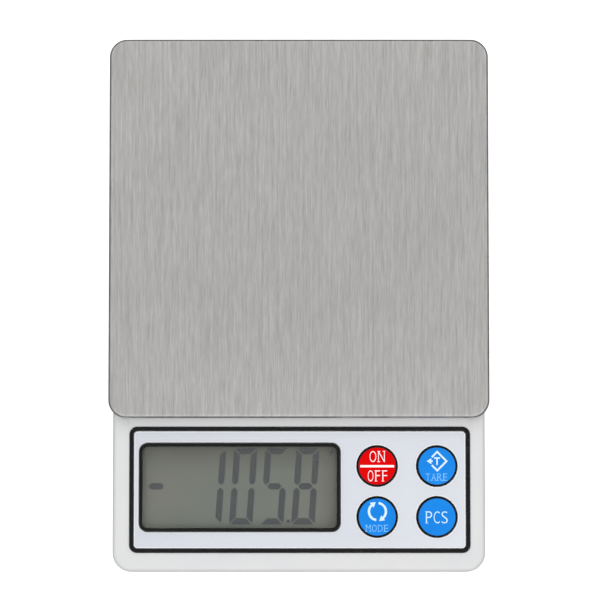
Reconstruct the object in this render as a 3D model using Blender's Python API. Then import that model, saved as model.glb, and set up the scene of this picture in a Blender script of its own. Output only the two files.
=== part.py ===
"""A digital gram scale: a steel platter on a load cell, in a two-part plastic case.

Metres, +Z up. The origin is on the table, under the middle of the scale. The front,
with the display and the keys, is at -Y, and the platter reaches to the back at +Y.
"""

import math

import bmesh
import bpy
from mathutils import Matrix

# ---------------------------------------------------------------- driving sizes
# Platter: a square pan pressed from steel sheet
PLATTER_WIDTH = 0.128
PLATTER_DEPTH = 0.128
PLATTER_CORNER = 0.006
PLATTER_SHEET = 0.0008
PLATTER_SKIRT = 0.0042
PLATTER_BEND = 0.0013

# Case
PLATTER_OVERHANG = 0.0009  # how far the platter stands past the case
CASE_HEIGHT = 0.020  # underside of the base to the deck
CASE_CORNER = 0.0068
CASE_WALL = 0.002
CASE_EDGE = 0.0016  # rounding of the deck's outer edge
BASE_EDGE = 0.0015  # rounding of the base's lower edge
CASE_DRAFT = 0.0004  # how far the sides lean in from the parting line
LIP_INSET = 0.001  # outer face of the base's lip to the case's side
LIP_HEIGHT = 0.001
CEILING_FILLET = 0.0006
BASE_HEIGHT = 0.0085  # underside of the base to the parting line
FOOT_HEIGHT = 0.0015  # how far the feet stand below the base
FOOT_RADIUS = 0.005
FOOT_INSET = 0.013  # foot centre to the side of the case
FOOT_EDGE = 0.0005
FOOT_SEAT = 0.0008  # depth of the recess that a foot is glued into

# Front panel
PANEL_FRONT = 0.0069  # case front to the panel's frame
PANEL_BACK = 0.003  # panel's frame to the platter
PANEL_SHIFT = 0.0003  # to the right of the middle
PANEL_CORNER = 0.0025
PANEL_RECESS = 0.001
PANEL_THICKNESS = 0.0008
BEZEL_WIDTH = 0.0012
BEZEL_PROUD = 0.0005
TRIM_EDGE = 0.0003  # chamfer along the black frames

# Display
WINDOW_WIDTH = 0.0676
WINDOW_DEPTH = 0.0296
WINDOW_LEFT = 0.00325  # panel's left side to the window's frame
WINDOW_RAISED = 0.0008  # middle of the window behind the panel's middle
WINDOW_CORNER = 0.0028
WINDOW_RIM = 0.0011
WINDOW_WALL = 0.00045
WINDOW_LIP = 0.0006  # thickness of the rim over the lens
LENS_THICKNESS = 0.0007
LCD_MARGIN = 0.001  # how far the LCD reaches past the window's frame
LCD_THICKNESS = 0.002
LCD_CORNER = 0.0006
REFLECTOR_THICKNESS = 0.0003
HOLDER_WALL = 0.0014
ZEBRA_DEPTH = 0.002
ZEBRA_INSET = 0.002  # ends of the strips to the ends of the LCD

# Keys and their switches
KEY_RADIUS = 0.0065
KEY_GAP = 0.00045
KEY_SPACE_X = 0.0071  # between the caps of a row
KEY_SPACE_Y = 0.0041  # between the caps of a column
KEY_FROM_WINDOW = 0.00595
KEY_TO_SIDE = 0.0046  # to the panel's right side
KEY_TO_FRONT = 0.0054  # to the panel's front side
KEY_TO_BACK = 0.0066  # to the panel's back side
KEY_PROUD = 0.0007
KEY_EDGE = 0.0003
KEY_FLANGE = 0.001  # how far the flange stands past the cap
KEY_FLANGE_THICKNESS = 0.0009
KEY_TRAVEL = 0.0004
SWITCH_SIDE = 0.006
SWITCH_CORNER = 0.0005
SWITCH_HEIGHT = 0.0034
PLUNGER_RADIUS = 0.00165
PLUNGER_HEIGHT = 0.0024
PLUNGER_SUNK = 0.0013  # how much of the plunger is inside its switch

# Board
BOARD_THICKNESS = 0.0016
BOARD_TO_PLATTER = 0.001  # board's back edge to the platter's front edge
BOARD_MARGIN = 0.0035  # clearance from the case's inner side walls
BOARD_CHAMFER = 0.0075
BOARD_SCREW_SIDE = 0.0131  # from the board's sides
BOARD_SCREW_INSET = 0.0023  # from the board's front and back edges
BOARD_BOSS_RADIUS = 0.0022
BLOB_RADIUS = 0.0055
BLOB_HEIGHT = 0.0014
SOCKET_X = 0.014
SOCKET_WIDTH = 0.009
SOCKET_DEPTH = 0.006
SOCKET_HEIGHT = 0.003
SOCKET_INSET = 0.001  # from the board's back edge

# Load cell
PAN_TRAVEL = 0.0005  # at full load
CELL_LENGTH = 0.047
CELL_WIDTH = 0.012
CELL_HEIGHT = 0.006
CELL_END_INSET = 0.007  # middle of a pair of holes to the end of the beam
CELL_HOLE_PITCH = 0.007
CELL_BORE = 0.0022  # radius of the two relief bores
CELL_BORE_PITCH = 0.010
CELL_SLOT = 0.0012
SPACER_HEIGHT = 0.0015
SPACER_CORNER = 0.001
PAD_HEIGHT = 0.002  # pad of the base under the fixed end
HUB_WALL = 0.004
CARRIER_SIZE = 0.098
CARRIER_PLATE = 0.0015
CARRIER_RIB = 0.0016
CARRIER_CORNER = 0.006
CARRIER_RIB_X = 0.029  # middle of the tray to each rib
CARRIER_HEAD_DEPTH = 0.0035  # how deep the screws' heads sit in the hub
CELL_EDGE = 0.0003
SCREW_SHORT = 0.001  # how far a screw stops short of the beam's far face
GAUGE_LENGTH = 0.018
GAUGE_WIDTH = 0.008
GAUGE_HEIGHT = 0.001
GAUGE_CORNER = 0.002
GAUGE_EDGE = 0.0004

# Batteries
BATTERY_RADIUS = 0.00525
BATTERY_LENGTH = 0.0433
BATTERY_NUB_RADIUS = 0.0019
BATTERY_NUB = 0.0012
BATTERY_GAP = 0.0006
BATTERY_EDGE = 0.0005
BAY_WALL = 0.0013
CONTACT_THICKNESS = 0.0004
CONTACT_SIDE = 0.0086
SPRING_LENGTH = 0.0027
SPRING_WIRE = 0.00025
SPRING_TURNS = 3.5
SPRING_WIDE = 0.0034
SPRING_NARROW = 0.0018
TAB_WIDTH = 0.002
TAB_BELOW_CEILING = 0.0016
TAB_REACH = 0.001  # how far the tabs stand out of the bay
DOOR_TONGUE = 0.0012
DOOR_TONGUE_THICKNESS = 0.0006
DOOR_RIB = 0.0004
DOOR_RIB_PITCH = 0.0016
DOOR_RIB_LENGTH = 0.014
DOOR_RIB_INSET = 0.006  # from the door's outer end
DOOR_RIBS = 5
DOOR_TONGUE_END = 0.003  # how far the tongues stop short of the door's outer end

# Fasteners and wires
SCREW_RADIUS = 0.0015
SCREW_HEAD_RADIUS = 0.0026
SCREW_HEAD_HEIGHT = 0.0014
SMALL_SCREW_RADIUS = 0.0011
SMALL_HEAD_RADIUS = 0.0019
SMALL_HEAD_HEIGHT = 0.0012
CASE_SCREW_INSET = 0.0062
CASE_BOSS_RADIUS = 0.0034
COVER_BOSS_RADIUS = 0.0028
CASE_HEAD_BELOW = 0.003  # screw's seat below the parting line
THREAD_DEPTH = 0.006
WIRE_RADIUS = 0.0006
CABLE_RADIUS = 0.0009
WIRE_LANE = 0.0026  # wires' height below the board
RED_LANE_X = 0.0315
BLACK_LANE_X = 0.0345

# Clearances
FIT = 0.0003  # between two pieces that rest on each other
SIDE_FIT = 0.00015  # around a piece that sits in a recess
SLIDE_FIT = 0.0002  # around a sliding piece
HOLE_FIT = 0.0002  # around a screw's shank or head
PAN_CLEARANCE = 0.0008  # left under the pan at full load
HUB_CLEARANCE = 0.001

# Facets: sides of a full circle
ROUND = 28
SMALL_ROUND = 12
CORNER_STEPS = 4
EDGE_STEPS = 3
COIL_STEPS = 8
WIRE_STEPS = 4
PAST = 0.001  # how far a cutter runs past the wall it cuts

# ---------------------------------------------------------------- derived places
key_pitch_x = 2 * KEY_RADIUS + KEY_SPACE_X
key_pitch_y = 2 * KEY_RADIUS + KEY_SPACE_Y
key_left = WINDOW_LEFT + WINDOW_WIDTH + KEY_FROM_WINDOW + KEY_RADIUS
panel_width = key_left + key_pitch_x + KEY_RADIUS + KEY_TO_SIDE
panel_depth = KEY_TO_FRONT + key_pitch_y + 2 * KEY_RADIUS + KEY_TO_BACK
console_depth = PANEL_FRONT + panel_depth + PANEL_BACK
half_length = (PLATTER_DEPTH + console_depth) / 2
platter_y = half_length - PLATTER_DEPTH / 2
case_width = PLATTER_WIDTH - 2 * PLATTER_OVERHANG
case_front = -half_length
case_back = half_length - PLATTER_OVERHANG
case_depth = case_back - case_front
case_y = (case_front + case_back) / 2

base_bottom = FOOT_HEIGHT
floor_top = base_bottom + CASE_WALL
parting = base_bottom + BASE_HEIGHT
lip_top = parting + LIP_HEIGHT
cover_bottom = parting + FIT
deck_top = base_bottom + CASE_HEIGHT
deck_bottom = deck_top - CASE_WALL
recess_floor = deck_top - PANEL_RECESS
panel_bottom = recess_floor + FIT
panel_top = panel_bottom + PANEL_THICKNESS
bezel_top = deck_top + BEZEL_PROUD
lens_top = panel_bottom + LENS_THICKNESS
lip_bottom = lens_top + SIDE_FIT
frame_top = lip_bottom + WINDOW_LIP

skirt_bottom = deck_top + PAN_TRAVEL + PAN_CLEARANCE
platter_top = skirt_bottom + PLATTER_SKIRT
platter_underside = platter_top - PLATTER_SHEET
carrier_top = platter_underside - FIT
carrier_bottom = deck_top + PAN_TRAVEL + PAN_CLEARANCE / 2
carrier_plate_top = carrier_bottom + CARRIER_PLATE

panel_x = PANEL_SHIFT
panel_y = case_front + PANEL_FRONT + panel_depth / 2
panel_left = panel_x - panel_width / 2
window_x = panel_left + WINDOW_LEFT + WINDOW_WIDTH / 2
window_y = panel_y + WINDOW_RAISED
key_front_y = case_front + PANEL_FRONT + KEY_TO_FRONT + KEY_RADIUS
key_back_y = key_front_y + key_pitch_y
key_left_x = panel_left + key_left
key_right_x = key_left_x + key_pitch_x
KEYS = {
    "on_off": (key_left_x, key_back_y),
    "tare": (key_right_x, key_back_y),
    "mode": (key_left_x, key_front_y),
    "pcs": (key_right_x, key_front_y),
}

flange_top = deck_bottom - FIT
flange_bottom = flange_top - KEY_FLANGE_THICKNESS
plunger_top = flange_bottom - FIT
switch_top = plunger_top - PLUNGER_HEIGHT + PLUNGER_SUNK
switch_bottom = switch_top - SWITCH_HEIGHT
board_top = switch_bottom - FIT
board_bottom = board_top - BOARD_THICKNESS
board_front = case_front + CASE_WALL + BOARD_MARGIN
board_back = platter_y - PLATTER_DEPTH / 2 - BOARD_TO_PLATTER
board_depth = board_back - board_front
board_width = case_width - 2 * CASE_WALL - 2 * BOARD_MARGIN
board_y = (board_front + board_back) / 2
socket_y = board_back - SOCKET_DEPTH / 2 - SOCKET_INSET
socket_top = board_bottom - FIT
lane_z = board_bottom - WIRE_LANE
lcd_width = WINDOW_WIDTH + 2 * LCD_MARGIN
lcd_depth = WINDOW_DEPTH + 2 * LCD_MARGIN
lcd_top = deck_bottom - FIT
lcd_bottom = lcd_top - LCD_THICKNESS

cell_bottom = floor_top + PAD_HEIGHT + SPACER_HEIGHT + 2 * FIT
cell_top = cell_bottom + CELL_HEIGHT
cell_middle = (cell_bottom + cell_top) / 2
cell_y = platter_y
free_y = cell_y - CELL_LENGTH / 2 + CELL_END_INSET
fixed_y = cell_y + CELL_LENGTH / 2 - CELL_END_INSET
hub_bottom = cell_top + FIT
hub_width = 2 * (SCREW_HEAD_RADIUS + HOLE_FIT + HUB_WALL)
hub_depth = 2 * CELL_END_INSET - 2 * FIT
carrier_head_z = carrier_bottom - CARRIER_HEAD_DEPTH

bay_width = BATTERY_LENGTH + BATTERY_NUB + SPRING_LENGTH + 2 * CONTACT_THICKNESS + 5 * FIT
bay_depth = 4 * BATTERY_RADIUS + 3 * BATTERY_GAP
bay_back = case_back - CASE_WALL - FIT - BAY_WALL
bay_front = bay_back - bay_depth
bay_y = (bay_front + bay_back) / 2
door_top = floor_top
battery_z = door_top + FIT + BATTERY_RADIUS
bay_ceiling = battery_z + BATTERY_RADIUS + FIT
BATTERY_ROWS = (
    bay_y - BATTERY_RADIUS - BATTERY_GAP / 2,
    bay_y + BATTERY_RADIUS + BATTERY_GAP / 2,
)
contact_x = bay_width / 2 - FIT - CONTACT_THICKNESS / 2
tab_z = bay_ceiling - TAB_BELOW_CEILING
tab_end = bay_width / 2 + BAY_WALL + TAB_REACH
case_head_z = parting - CASE_HEAD_BELOW
cell_head_z = base_bottom + SCREW_HEAD_HEIGHT + FIT
foot_top = base_bottom + FOOT_SEAT - FIT


# ---------------------------------------------------------------- helpers
def clear_scene():
    for obj in list(bpy.data.objects):
        bpy.data.objects.remove(obj, do_unlink=True)


def finish(name, colour, roughness, metallic=0.0):
    """A Principled material of one finish."""
    material = bpy.data.materials.new(name)
    material.use_nodes = True
    shader = material.node_tree.nodes["Principled BSDF"]
    shader.inputs["Base Color"].default_value = (*colour, 1.0)
    shader.inputs["Roughness"].default_value = roughness
    shader.inputs["Metallic"].default_value = metallic
    return material


def make_object(name, mesh_work, material, at=(0, 0, 0), parent=None):
    """An object from a bmesh, whose own place is its axis or its centre."""
    bmesh.ops.recalc_face_normals(mesh_work, faces=mesh_work.faces)
    mesh = bpy.data.meshes.new(name)
    mesh_work.to_mesh(mesh)
    mesh_work.free()
    mesh.shade_smooth()
    mesh.set_sharp_from_angle(angle=math.radians(35))
    return place(name, mesh, material, at, parent)


def place(name, mesh, material, at=(0, 0, 0), parent=None):
    obj = bpy.data.objects.new(name, mesh)
    bpy.context.collection.objects.link(obj)
    if material and not mesh.materials:
        mesh.materials.append(material)
    obj.location = at
    if parent:
        obj.parent = parent
        obj.matrix_parent_inverse = Matrix.Translation(parent.location).inverted()
    return obj


def make_axis(name, at):
    """An empty on a joint's axis, which the pieces that move together hang from."""
    axis = bpy.data.objects.new(name, None)
    axis.empty_display_size = 0.01
    axis.location = at
    bpy.context.collection.objects.link(axis)
    return axis


def rounded_outline(width, depth, corner, steps=CORNER_STEPS):
    """Points of a rectangle with round corners, anticlockwise, centred on the origin."""
    corner = max(min(corner, width / 2 - 1e-4, depth / 2 - 1e-4), 1e-4)
    points = []
    for quarter, (side_x, side_y) in enumerate(((1, 1), (-1, 1), (-1, -1), (1, -1))):
        centre_x = side_x * (width / 2 - corner)
        centre_y = side_y * (depth / 2 - corner)
        for step in range(steps + 1):
            angle = math.radians(90 * (quarter + step / steps))
            points.append((centre_x + corner * math.cos(angle), centre_y + corner * math.sin(angle)))
    return points


def add_loft(work, rings, closed=False):
    """Skin through rings of equally many points; its ends are capped, or joined if closed."""
    made = [[work.verts.new(point) for point in ring] for ring in rings]
    count = len(made[0])
    pairs = list(zip(made, made[1:]))
    if closed:
        pairs.append((made[-1], made[0]))
    for lower, upper in pairs:
        for i in range(count):
            j = (i + 1) % count
            work.faces.new((lower[i], lower[j], upper[j], upper[i]))
    if not closed:
        work.faces.new(list(reversed(made[0])))
        work.faces.new(made[-1])


def slab_rings(width, depth, corner, sections, centre=(0, 0)):
    """Rings of a rounded rectangle, one for each (inset, height)."""
    rings = []
    for inset, z in sections:
        outline = rounded_outline(width - 2 * inset, depth - 2 * inset, corner - inset)
        rings.append([(centre[0] + x, centre[1] + y, z) for x, y in outline])
    return rings


def rounded_edge(inset, z, radius, rise=1):
    """Sections round a quarter circle, from the side wall to a face that lies above or below."""
    sections = []
    for step in range(EDGE_STEPS + 1):
        angle = math.radians(90 * step / EDGE_STEPS)
        sections.append(
            (inset + radius * (1 - math.cos(angle)), z - rise * radius * (1 - math.sin(angle)))
        )
    return sections


def add_slab(work, width, depth, corner, z0, z1, centre=(0, 0)):
    add_loft(work, slab_rings(width, depth, corner, [(0, z0), (0, z1)], centre))


def add_box(work, x0, x1, y0, y1, z0, z1):
    middle = Matrix.Translation(((x0 + x1) / 2, (y0 + y1) / 2, (z0 + z1) / 2))
    size = Matrix.Diagonal((x1 - x0, y1 - y0, z1 - z0, 1))
    bmesh.ops.create_cube(work, size=1, matrix=middle @ size)


def add_cylinder(work, x, y, z0, z1, radius, sides=SMALL_ROUND):
    bmesh.ops.create_cone(
        work,
        cap_ends=True,
        segments=sides,
        radius1=radius,
        radius2=radius,
        depth=z1 - z0,
        matrix=Matrix.Translation((x, y, (z0 + z1) / 2)),
    )


def add_turned(work, profile, sides=SMALL_ROUND):
    """A body turned about Z from (radius, z) points that start and end on the axis."""
    points = [work.verts.new((radius, 0, z)) for radius, z in profile]
    edges = [work.edges.new(pair) for pair in zip(points, points[1:])]
    bmesh.ops.spin(
        work,
        geom=points + edges,
        cent=(0, 0, 0),
        axis=(0, 0, 1),
        angle=2 * math.pi,
        steps=sides,
        use_merge=True,
    )
    bmesh.ops.remove_doubles(work, verts=work.verts, dist=1e-6)


def change(target, tool, operation, name):
    """A Boolean with a hidden tool object."""
    tool.hide_render = True
    tool.display_type = "WIRE"
    modifier = target.modifiers.new(name, "BOOLEAN")
    modifier.operation = operation
    modifier.solver = "EXACT"
    modifier.object = tool


def cutter(target, name, build):
    work = bmesh.new()
    build(work)
    change(target, make_object(f"{target.name}_{name}", work, None), "DIFFERENCE", name)


def addition(target, name, build):
    work = bmesh.new()
    build(work)
    change(target, make_object(f"{target.name}_{name}", work, None), "UNION", name)


def make_tube(name, route, radius, material):
    """A wire along points, with closed ends."""
    curve = bpy.data.curves.new(name, "CURVE")
    curve.dimensions = "3D"
    curve.bevel_depth = radius
    curve.bevel_resolution = 1
    curve.use_fill_caps = True
    spline = curve.splines.new("POLY")
    spline.points.add(len(route) - 1)
    for point, at in zip(spline.points, route):
        point.co = (*at, 1)
    curve.materials.append(material)
    obj = bpy.data.objects.new(name, curve)
    bpy.context.collection.objects.link(obj)
    return obj


def smooth_route(anchors, per_span):
    """Points along a Catmull-Rom curve through the anchors."""
    ends = [anchors[0], *anchors, anchors[-1]]
    route = []
    for i in range(1, len(ends) - 2):
        before, start, end, after = ends[i - 1 : i + 3]
        for step in range(per_span):
            t = step / per_span
            route.append(
                tuple(
                    0.5
                    * (
                        2 * b
                        + (c - a) * t
                        + (2 * a - 5 * b + 4 * c - d) * t * t
                        + (3 * b - a - 3 * c + d) * t * t * t
                    )
                    for a, b, c, d in zip(before, start, end, after)
                )
            )
    route.append(tuple(anchors[-1]))
    return route


def corners_of(half_x, y_front, y_back):
    """Four places in the corners, front pair first."""
    return [(-half_x, y_front), (half_x, y_front), (-half_x, y_back), (half_x, y_back)]


CASE_SCREWS = corners_of(
    case_width / 2 - CASE_SCREW_INSET, case_front + CASE_SCREW_INSET, case_back - CASE_SCREW_INSET
)
FEET = corners_of(case_width / 2 - FOOT_INSET, case_front + FOOT_INSET, case_back - FOOT_INSET)
BOARD_SCREWS = corners_of(
    board_width / 2 - BOARD_SCREW_SIDE, board_front + BOARD_SCREW_INSET, board_back - BOARD_SCREW_INSET
)
FREE_HOLES = (free_y - CELL_HOLE_PITCH / 2, free_y + CELL_HOLE_PITCH / 2)
FIXED_HOLES = (fixed_y - CELL_HOLE_PITCH / 2, fixed_y + CELL_HOLE_PITCH / 2)

clear_scene()

white_plastic = finish("white_plastic", (0.80, 0.80, 0.80), 0.45)
grey_plastic = finish("grey_plastic", (0.35, 0.35, 0.36), 0.55)
steel = finish("brushed_steel", (0.60, 0.59, 0.58), 0.35, 1.0)
zinc = finish("zinc_plate", (0.62, 0.62, 0.62), 0.3, 1.0)
aluminium = finish("machined_aluminium", (0.78, 0.78, 0.79), 0.35, 1.0)
silver_panel = finish("silver_panel", (0.68, 0.71, 0.78), 0.3, 0.2)
black_gloss = finish("black_gloss", (0.01, 0.01, 0.01), 0.15)
clear_lens = finish("clear_lens", (0.9, 0.9, 0.9), 0.05)
lcd_grey = finish("lcd_grey", (0.17, 0.19, 0.16), 0.2)
red_plastic = finish("red_plastic", (0.78, 0.01, 0.01), 0.35)
blue_plastic = finish("blue_plastic", (0.01, 0.23, 0.78), 0.35)
rubber = finish("rubber", (0.03, 0.03, 0.03), 0.8)
board_green = finish("board_green", (0.02, 0.16, 0.06), 0.4)
silicone = finish("silicone", (0.75, 0.75, 0.72), 0.5)
battery_wrap = finish("battery_wrap", (0.05, 0.12, 0.10), 0.35, 0.3)
red_wire = finish("red_wire", (0.6, 0.02, 0.02), 0.5)
black_wire = finish("black_wire", (0.02, 0.02, 0.02), 0.5)

# ---------------------------------------------------------------- case
work = bmesh.new()
add_loft(
    work,
    slab_rings(
        case_width,
        case_depth,
        CASE_CORNER,
        [
            (CASE_WALL + CEILING_FILLET, deck_bottom),
            (CASE_WALL, deck_bottom - CEILING_FILLET),
            (CASE_WALL, lip_top + FIT),
            (LIP_INSET - SIDE_FIT, lip_top + FIT),
            (LIP_INSET - SIDE_FIT, cover_bottom),
            (0, cover_bottom),
            *rounded_edge(CASE_DRAFT, deck_top, CASE_EDGE),
        ],
        (0, case_y),
    ),
)
top_cover = make_object("top_cover", work, white_plastic)


def cover_bosses(work):
    boss_top = deck_bottom + (CASE_WALL - PANEL_RECESS) / 2
    for x, y in CASE_SCREWS:
        add_cylinder(work, x, y, cover_bottom, boss_top, COVER_BOSS_RADIUS)
    for x, y in BOARD_SCREWS:
        add_cylinder(work, x, y, board_top + FIT, boss_top, BOARD_BOSS_RADIUS)


def cover_recess(work):
    add_slab(
        work,
        panel_width + 2 * SIDE_FIT,
        panel_depth + 2 * SIDE_FIT,
        PANEL_CORNER,
        recess_floor,
        deck_top + PAST,
        (panel_x, panel_y),
    )


def cover_openings(work):
    low, high = deck_bottom - PAST, deck_top + PAST
    add_slab(
        work,
        WINDOW_WIDTH - 2 * WINDOW_RIM,
        WINDOW_DEPTH - 2 * WINDOW_RIM,
        WINDOW_CORNER - WINDOW_RIM,
        low,
        high,
        (window_x, window_y),
    )
    for x, y in KEYS.values():
        add_cylinder(work, x, y, low, high, KEY_RADIUS + KEY_GAP, ROUND)
    half_x = hub_width / 2 + HUB_CLEARANCE
    half_y = hub_depth / 2 + HUB_CLEARANCE
    add_box(work, -half_x, half_x, free_y - half_y, free_y + half_y, low, high)
    for x, y in CASE_SCREWS:
        thread_top = cover_bottom + THREAD_DEPTH
        add_cylinder(work, x, y, cover_bottom - PAST, thread_top, SCREW_RADIUS + HOLE_FIT)
    for x, y in BOARD_SCREWS:
        bottom = board_top + FIT
        add_cylinder(
            work, x, y, bottom - PAST, deck_bottom - FIT, SMALL_SCREW_RADIUS + HOLE_FIT
        )


addition(top_cover, "bosses", cover_bosses)
cutter(top_cover, "recess", cover_recess)
cutter(top_cover, "openings", cover_openings)

work = bmesh.new()
add_loft(
    work,
    slab_rings(
        case_width,
        case_depth,
        CASE_CORNER,
        [
            (CASE_WALL, floor_top),
            (CASE_WALL, lip_top),
            (LIP_INSET, lip_top),
            (LIP_INSET, parting),
            (0, parting),
            *rounded_edge(CASE_DRAFT, base_bottom, BASE_EDGE, rise=-1),
        ],
        (0, case_y),
    ),
)
base_tray = make_object("base_tray", work, white_plastic)


def base_raised(work):
    sunk = floor_top - CASE_WALL / 2
    for x, y in CASE_SCREWS:
        add_cylinder(work, x, y, sunk, parting, CASE_BOSS_RADIUS)
    half = CELL_WIDTH / 2 + CASE_WALL
    add_box(
        work, -half, half, fixed_y - CELL_END_INSET, fixed_y + CELL_END_INSET, sunk, floor_top + PAD_HEIGHT
    )
    half_x = bay_width / 2 + BAY_WALL
    add_box(
        work,
        -half_x,
        half_x,
        bay_front - BAY_WALL,
        bay_back + BAY_WALL,
        sunk,
        bay_ceiling + BAY_WALL,
    )


def base_bay(work):
    half_x = bay_width / 2
    add_box(work, -half_x, half_x, bay_front, bay_back, base_bottom - PAST, bay_ceiling)


def base_door_slot(work):
    half_x = bay_width / 2
    step = BAY_WALL + FIT / 2
    add_box(
        work, -half_x, half_x, bay_back - step, case_back + PAST, base_bottom - PAST, door_top + SLIDE_FIT
    )


def base_grooves(work):
    reach = bay_width / 2 + DOOR_TONGUE + SLIDE_FIT
    low = (base_bottom + door_top - DOOR_TONGUE_THICKNESS) / 2 - SLIDE_FIT
    high = low + DOOR_TONGUE_THICKNESS + 2 * SLIDE_FIT
    add_box(work, -reach, reach, bay_front + FIT, case_back + PAST, low, high)


def base_holes(work):
    for x, y in CASE_SCREWS:
        add_cylinder(work, x, y, base_bottom - PAST, parting + PAST, SCREW_RADIUS + HOLE_FIT)
    for y in FIXED_HOLES:
        add_cylinder(work, 0, y, base_bottom - PAST, parting + PAST, SCREW_RADIUS + HOLE_FIT)


def base_counterbores(work):
    head = SCREW_HEAD_RADIUS + HOLE_FIT
    for x, y in CASE_SCREWS:
        add_cylinder(work, x, y, base_bottom - PAST, case_head_z + FIT, head)
    for y in FIXED_HOLES:
        add_cylinder(work, 0, y, base_bottom - PAST, cell_head_z + FIT, head)
    for x, y in FEET:
        add_cylinder(
            work, x, y, base_bottom - PAST, base_bottom + FOOT_SEAT, FOOT_RADIUS + SIDE_FIT, ROUND
        )


def base_tab_slots(work):
    for y in BATTERY_ROWS:
        add_box(
            work,
            bay_width / 2 - PAST,
            bay_width / 2 + BAY_WALL + PAST,
            y - TAB_WIDTH / 2 - FIT,
            y + TAB_WIDTH / 2 + FIT,
            tab_z - CONTACT_THICKNESS / 2 - FIT,
            tab_z + CONTACT_THICKNESS / 2 + FIT,
        )


addition(base_tray, "raised", base_raised)
cutter(base_tray, "bay", base_bay)
cutter(base_tray, "door_slot", base_door_slot)
cutter(base_tray, "grooves", base_grooves)
cutter(base_tray, "holes", base_holes)
cutter(base_tray, "counterbores", base_counterbores)
cutter(base_tray, "tab_slots", base_tab_slots)

work = bmesh.new()
add_turned(
    work,
    [
        (0, foot_top),
        (FOOT_RADIUS, foot_top),
        (FOOT_RADIUS, FOOT_EDGE),
        (FOOT_RADIUS - FOOT_EDGE, 0),
        (0, 0),
    ],
    ROUND,
)
foot = make_object("foot_1", work, rubber, (*FEET[0], 0))
for number, (x, y) in enumerate(FEET[1:], 2):
    place(f"foot_{number}", foot.data, rubber, (x, y, 0))


# ---------------------------------------------------------------- fasteners
def screw_mesh(name, shank_radius, length, head_radius, head_height):
    """A pan-head screw that points up, its seat at z = 0 and its shank above."""
    work = bmesh.new()
    add_turned(
        work,
        [
            (0, length),
            (shank_radius * 0.6, length),
            (shank_radius, length - shank_radius * 0.6),
            (shank_radius, 0),
            (head_radius, 0),
            (head_radius, -head_height * 0.45),
            (head_radius * 0.62, -head_height),
            (0, -head_height),
        ],
    )
    bmesh.ops.recalc_face_normals(work, faces=work.faces)
    mesh = bpy.data.meshes.new(name)
    work.to_mesh(mesh)
    work.free()
    mesh.shade_smooth()
    mesh.set_sharp_from_angle(angle=math.radians(35))
    return mesh


case_screw = screw_mesh(
    "case_screw",
    SCREW_RADIUS,
    cover_bottom + THREAD_DEPTH - FIT - case_head_z,
    SCREW_HEAD_RADIUS,
    SCREW_HEAD_HEIGHT,
)
for number, (x, y) in enumerate(CASE_SCREWS, 1):
    place(f"case_screw_{number}", case_screw, zinc, (x, y, case_head_z))

board_screw = screw_mesh(
    "board_screw",
    SMALL_SCREW_RADIUS,
    deck_bottom - 2 * FIT - (board_bottom - FIT),
    SMALL_HEAD_RADIUS,
    SMALL_HEAD_HEIGHT,
)
for number, (x, y) in enumerate(BOARD_SCREWS, 1):
    place(f"board_screw_{number}", board_screw, zinc, (x, y, board_bottom - FIT))

cell_screw = screw_mesh(
    "load_cell_screw",
    SCREW_RADIUS,
    cell_top - SCREW_SHORT - cell_head_z,
    SCREW_HEAD_RADIUS,
    SCREW_HEAD_HEIGHT,
)
for number, y in enumerate(FIXED_HOLES, 1):
    place(f"load_cell_screw_{number}", cell_screw, zinc, (0, y, cell_head_z))

# ---------------------------------------------------------------- load cell
work = bmesh.new()
add_box(
    work,
    -CELL_WIDTH / 2,
    CELL_WIDTH / 2,
    cell_y - CELL_LENGTH / 2,
    cell_y + CELL_LENGTH / 2,
    cell_bottom,
    cell_top,
)
bmesh.ops.bevel(
    work, geom=work.edges[:], offset=CELL_EDGE, segments=1, affect="EDGES", profile=0.5
)
load_cell = make_object("load_cell", work, aluminium)


def relief(work):
    """Two round bores joined by a slot, from side to side."""
    opening = math.asin(CELL_SLOT / 2 / CELL_BORE)
    outline = []
    steps = 14
    for side in (1, -1):
        start = -math.pi + opening if side == 1 else opening
        for step in range(steps + 1):
            angle = start + (2 * math.pi - 2 * opening) * step / steps
            outline.append(
                (
                    cell_y + side * CELL_BORE_PITCH / 2 + CELL_BORE * math.cos(angle),
                    cell_middle + CELL_BORE * math.sin(angle),
                )
            )
    reach = CELL_WIDTH / 2 + PAST
    add_loft(work, [[(x, y, z) for y, z in outline] for x in (-reach, reach)])


def cell_holes(work):
    for y in FREE_HOLES + FIXED_HOLES:
        add_cylinder(work, 0, y, cell_bottom - PAST, cell_top + PAST, SCREW_RADIUS + HOLE_FIT)


cutter(load_cell, "relief", relief)
cutter(load_cell, "holes", cell_holes)

work = bmesh.new()
spacer_bottom = floor_top + PAD_HEIGHT + FIT
add_slab(
    work,
    CELL_WIDTH,
    2 * CELL_END_INSET,
    SPACER_CORNER,
    spacer_bottom,
    spacer_bottom + SPACER_HEIGHT,
    (0, fixed_y),
)
load_cell_spacer = make_object("load_cell_spacer", work, zinc)


def spacer_holes(work):
    for y in FIXED_HOLES:
        add_cylinder(
            work,
            0,
            y,
            spacer_bottom - PAST,
            spacer_bottom + SPACER_HEIGHT + PAST,
            SCREW_RADIUS + HOLE_FIT,
        )


cutter(load_cell_spacer, "holes", spacer_holes)

for name, low in (
    ("gauge_cover_top", cell_top + FIT),
    ("gauge_cover_bottom", cell_bottom - FIT - GAUGE_HEIGHT),
):
    work = bmesh.new()
    add_loft(
        work,
        slab_rings(
            GAUGE_WIDTH,
            GAUGE_LENGTH,
            GAUGE_CORNER,
            [
                (GAUGE_EDGE, low),
                (0, low + GAUGE_EDGE),
                (0, low + GAUGE_HEIGHT - GAUGE_EDGE),
                (GAUGE_EDGE, low + GAUGE_HEIGHT),
            ],
            (0, cell_y),
        ),
    )
    make_object(name, work, silicone)

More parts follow.
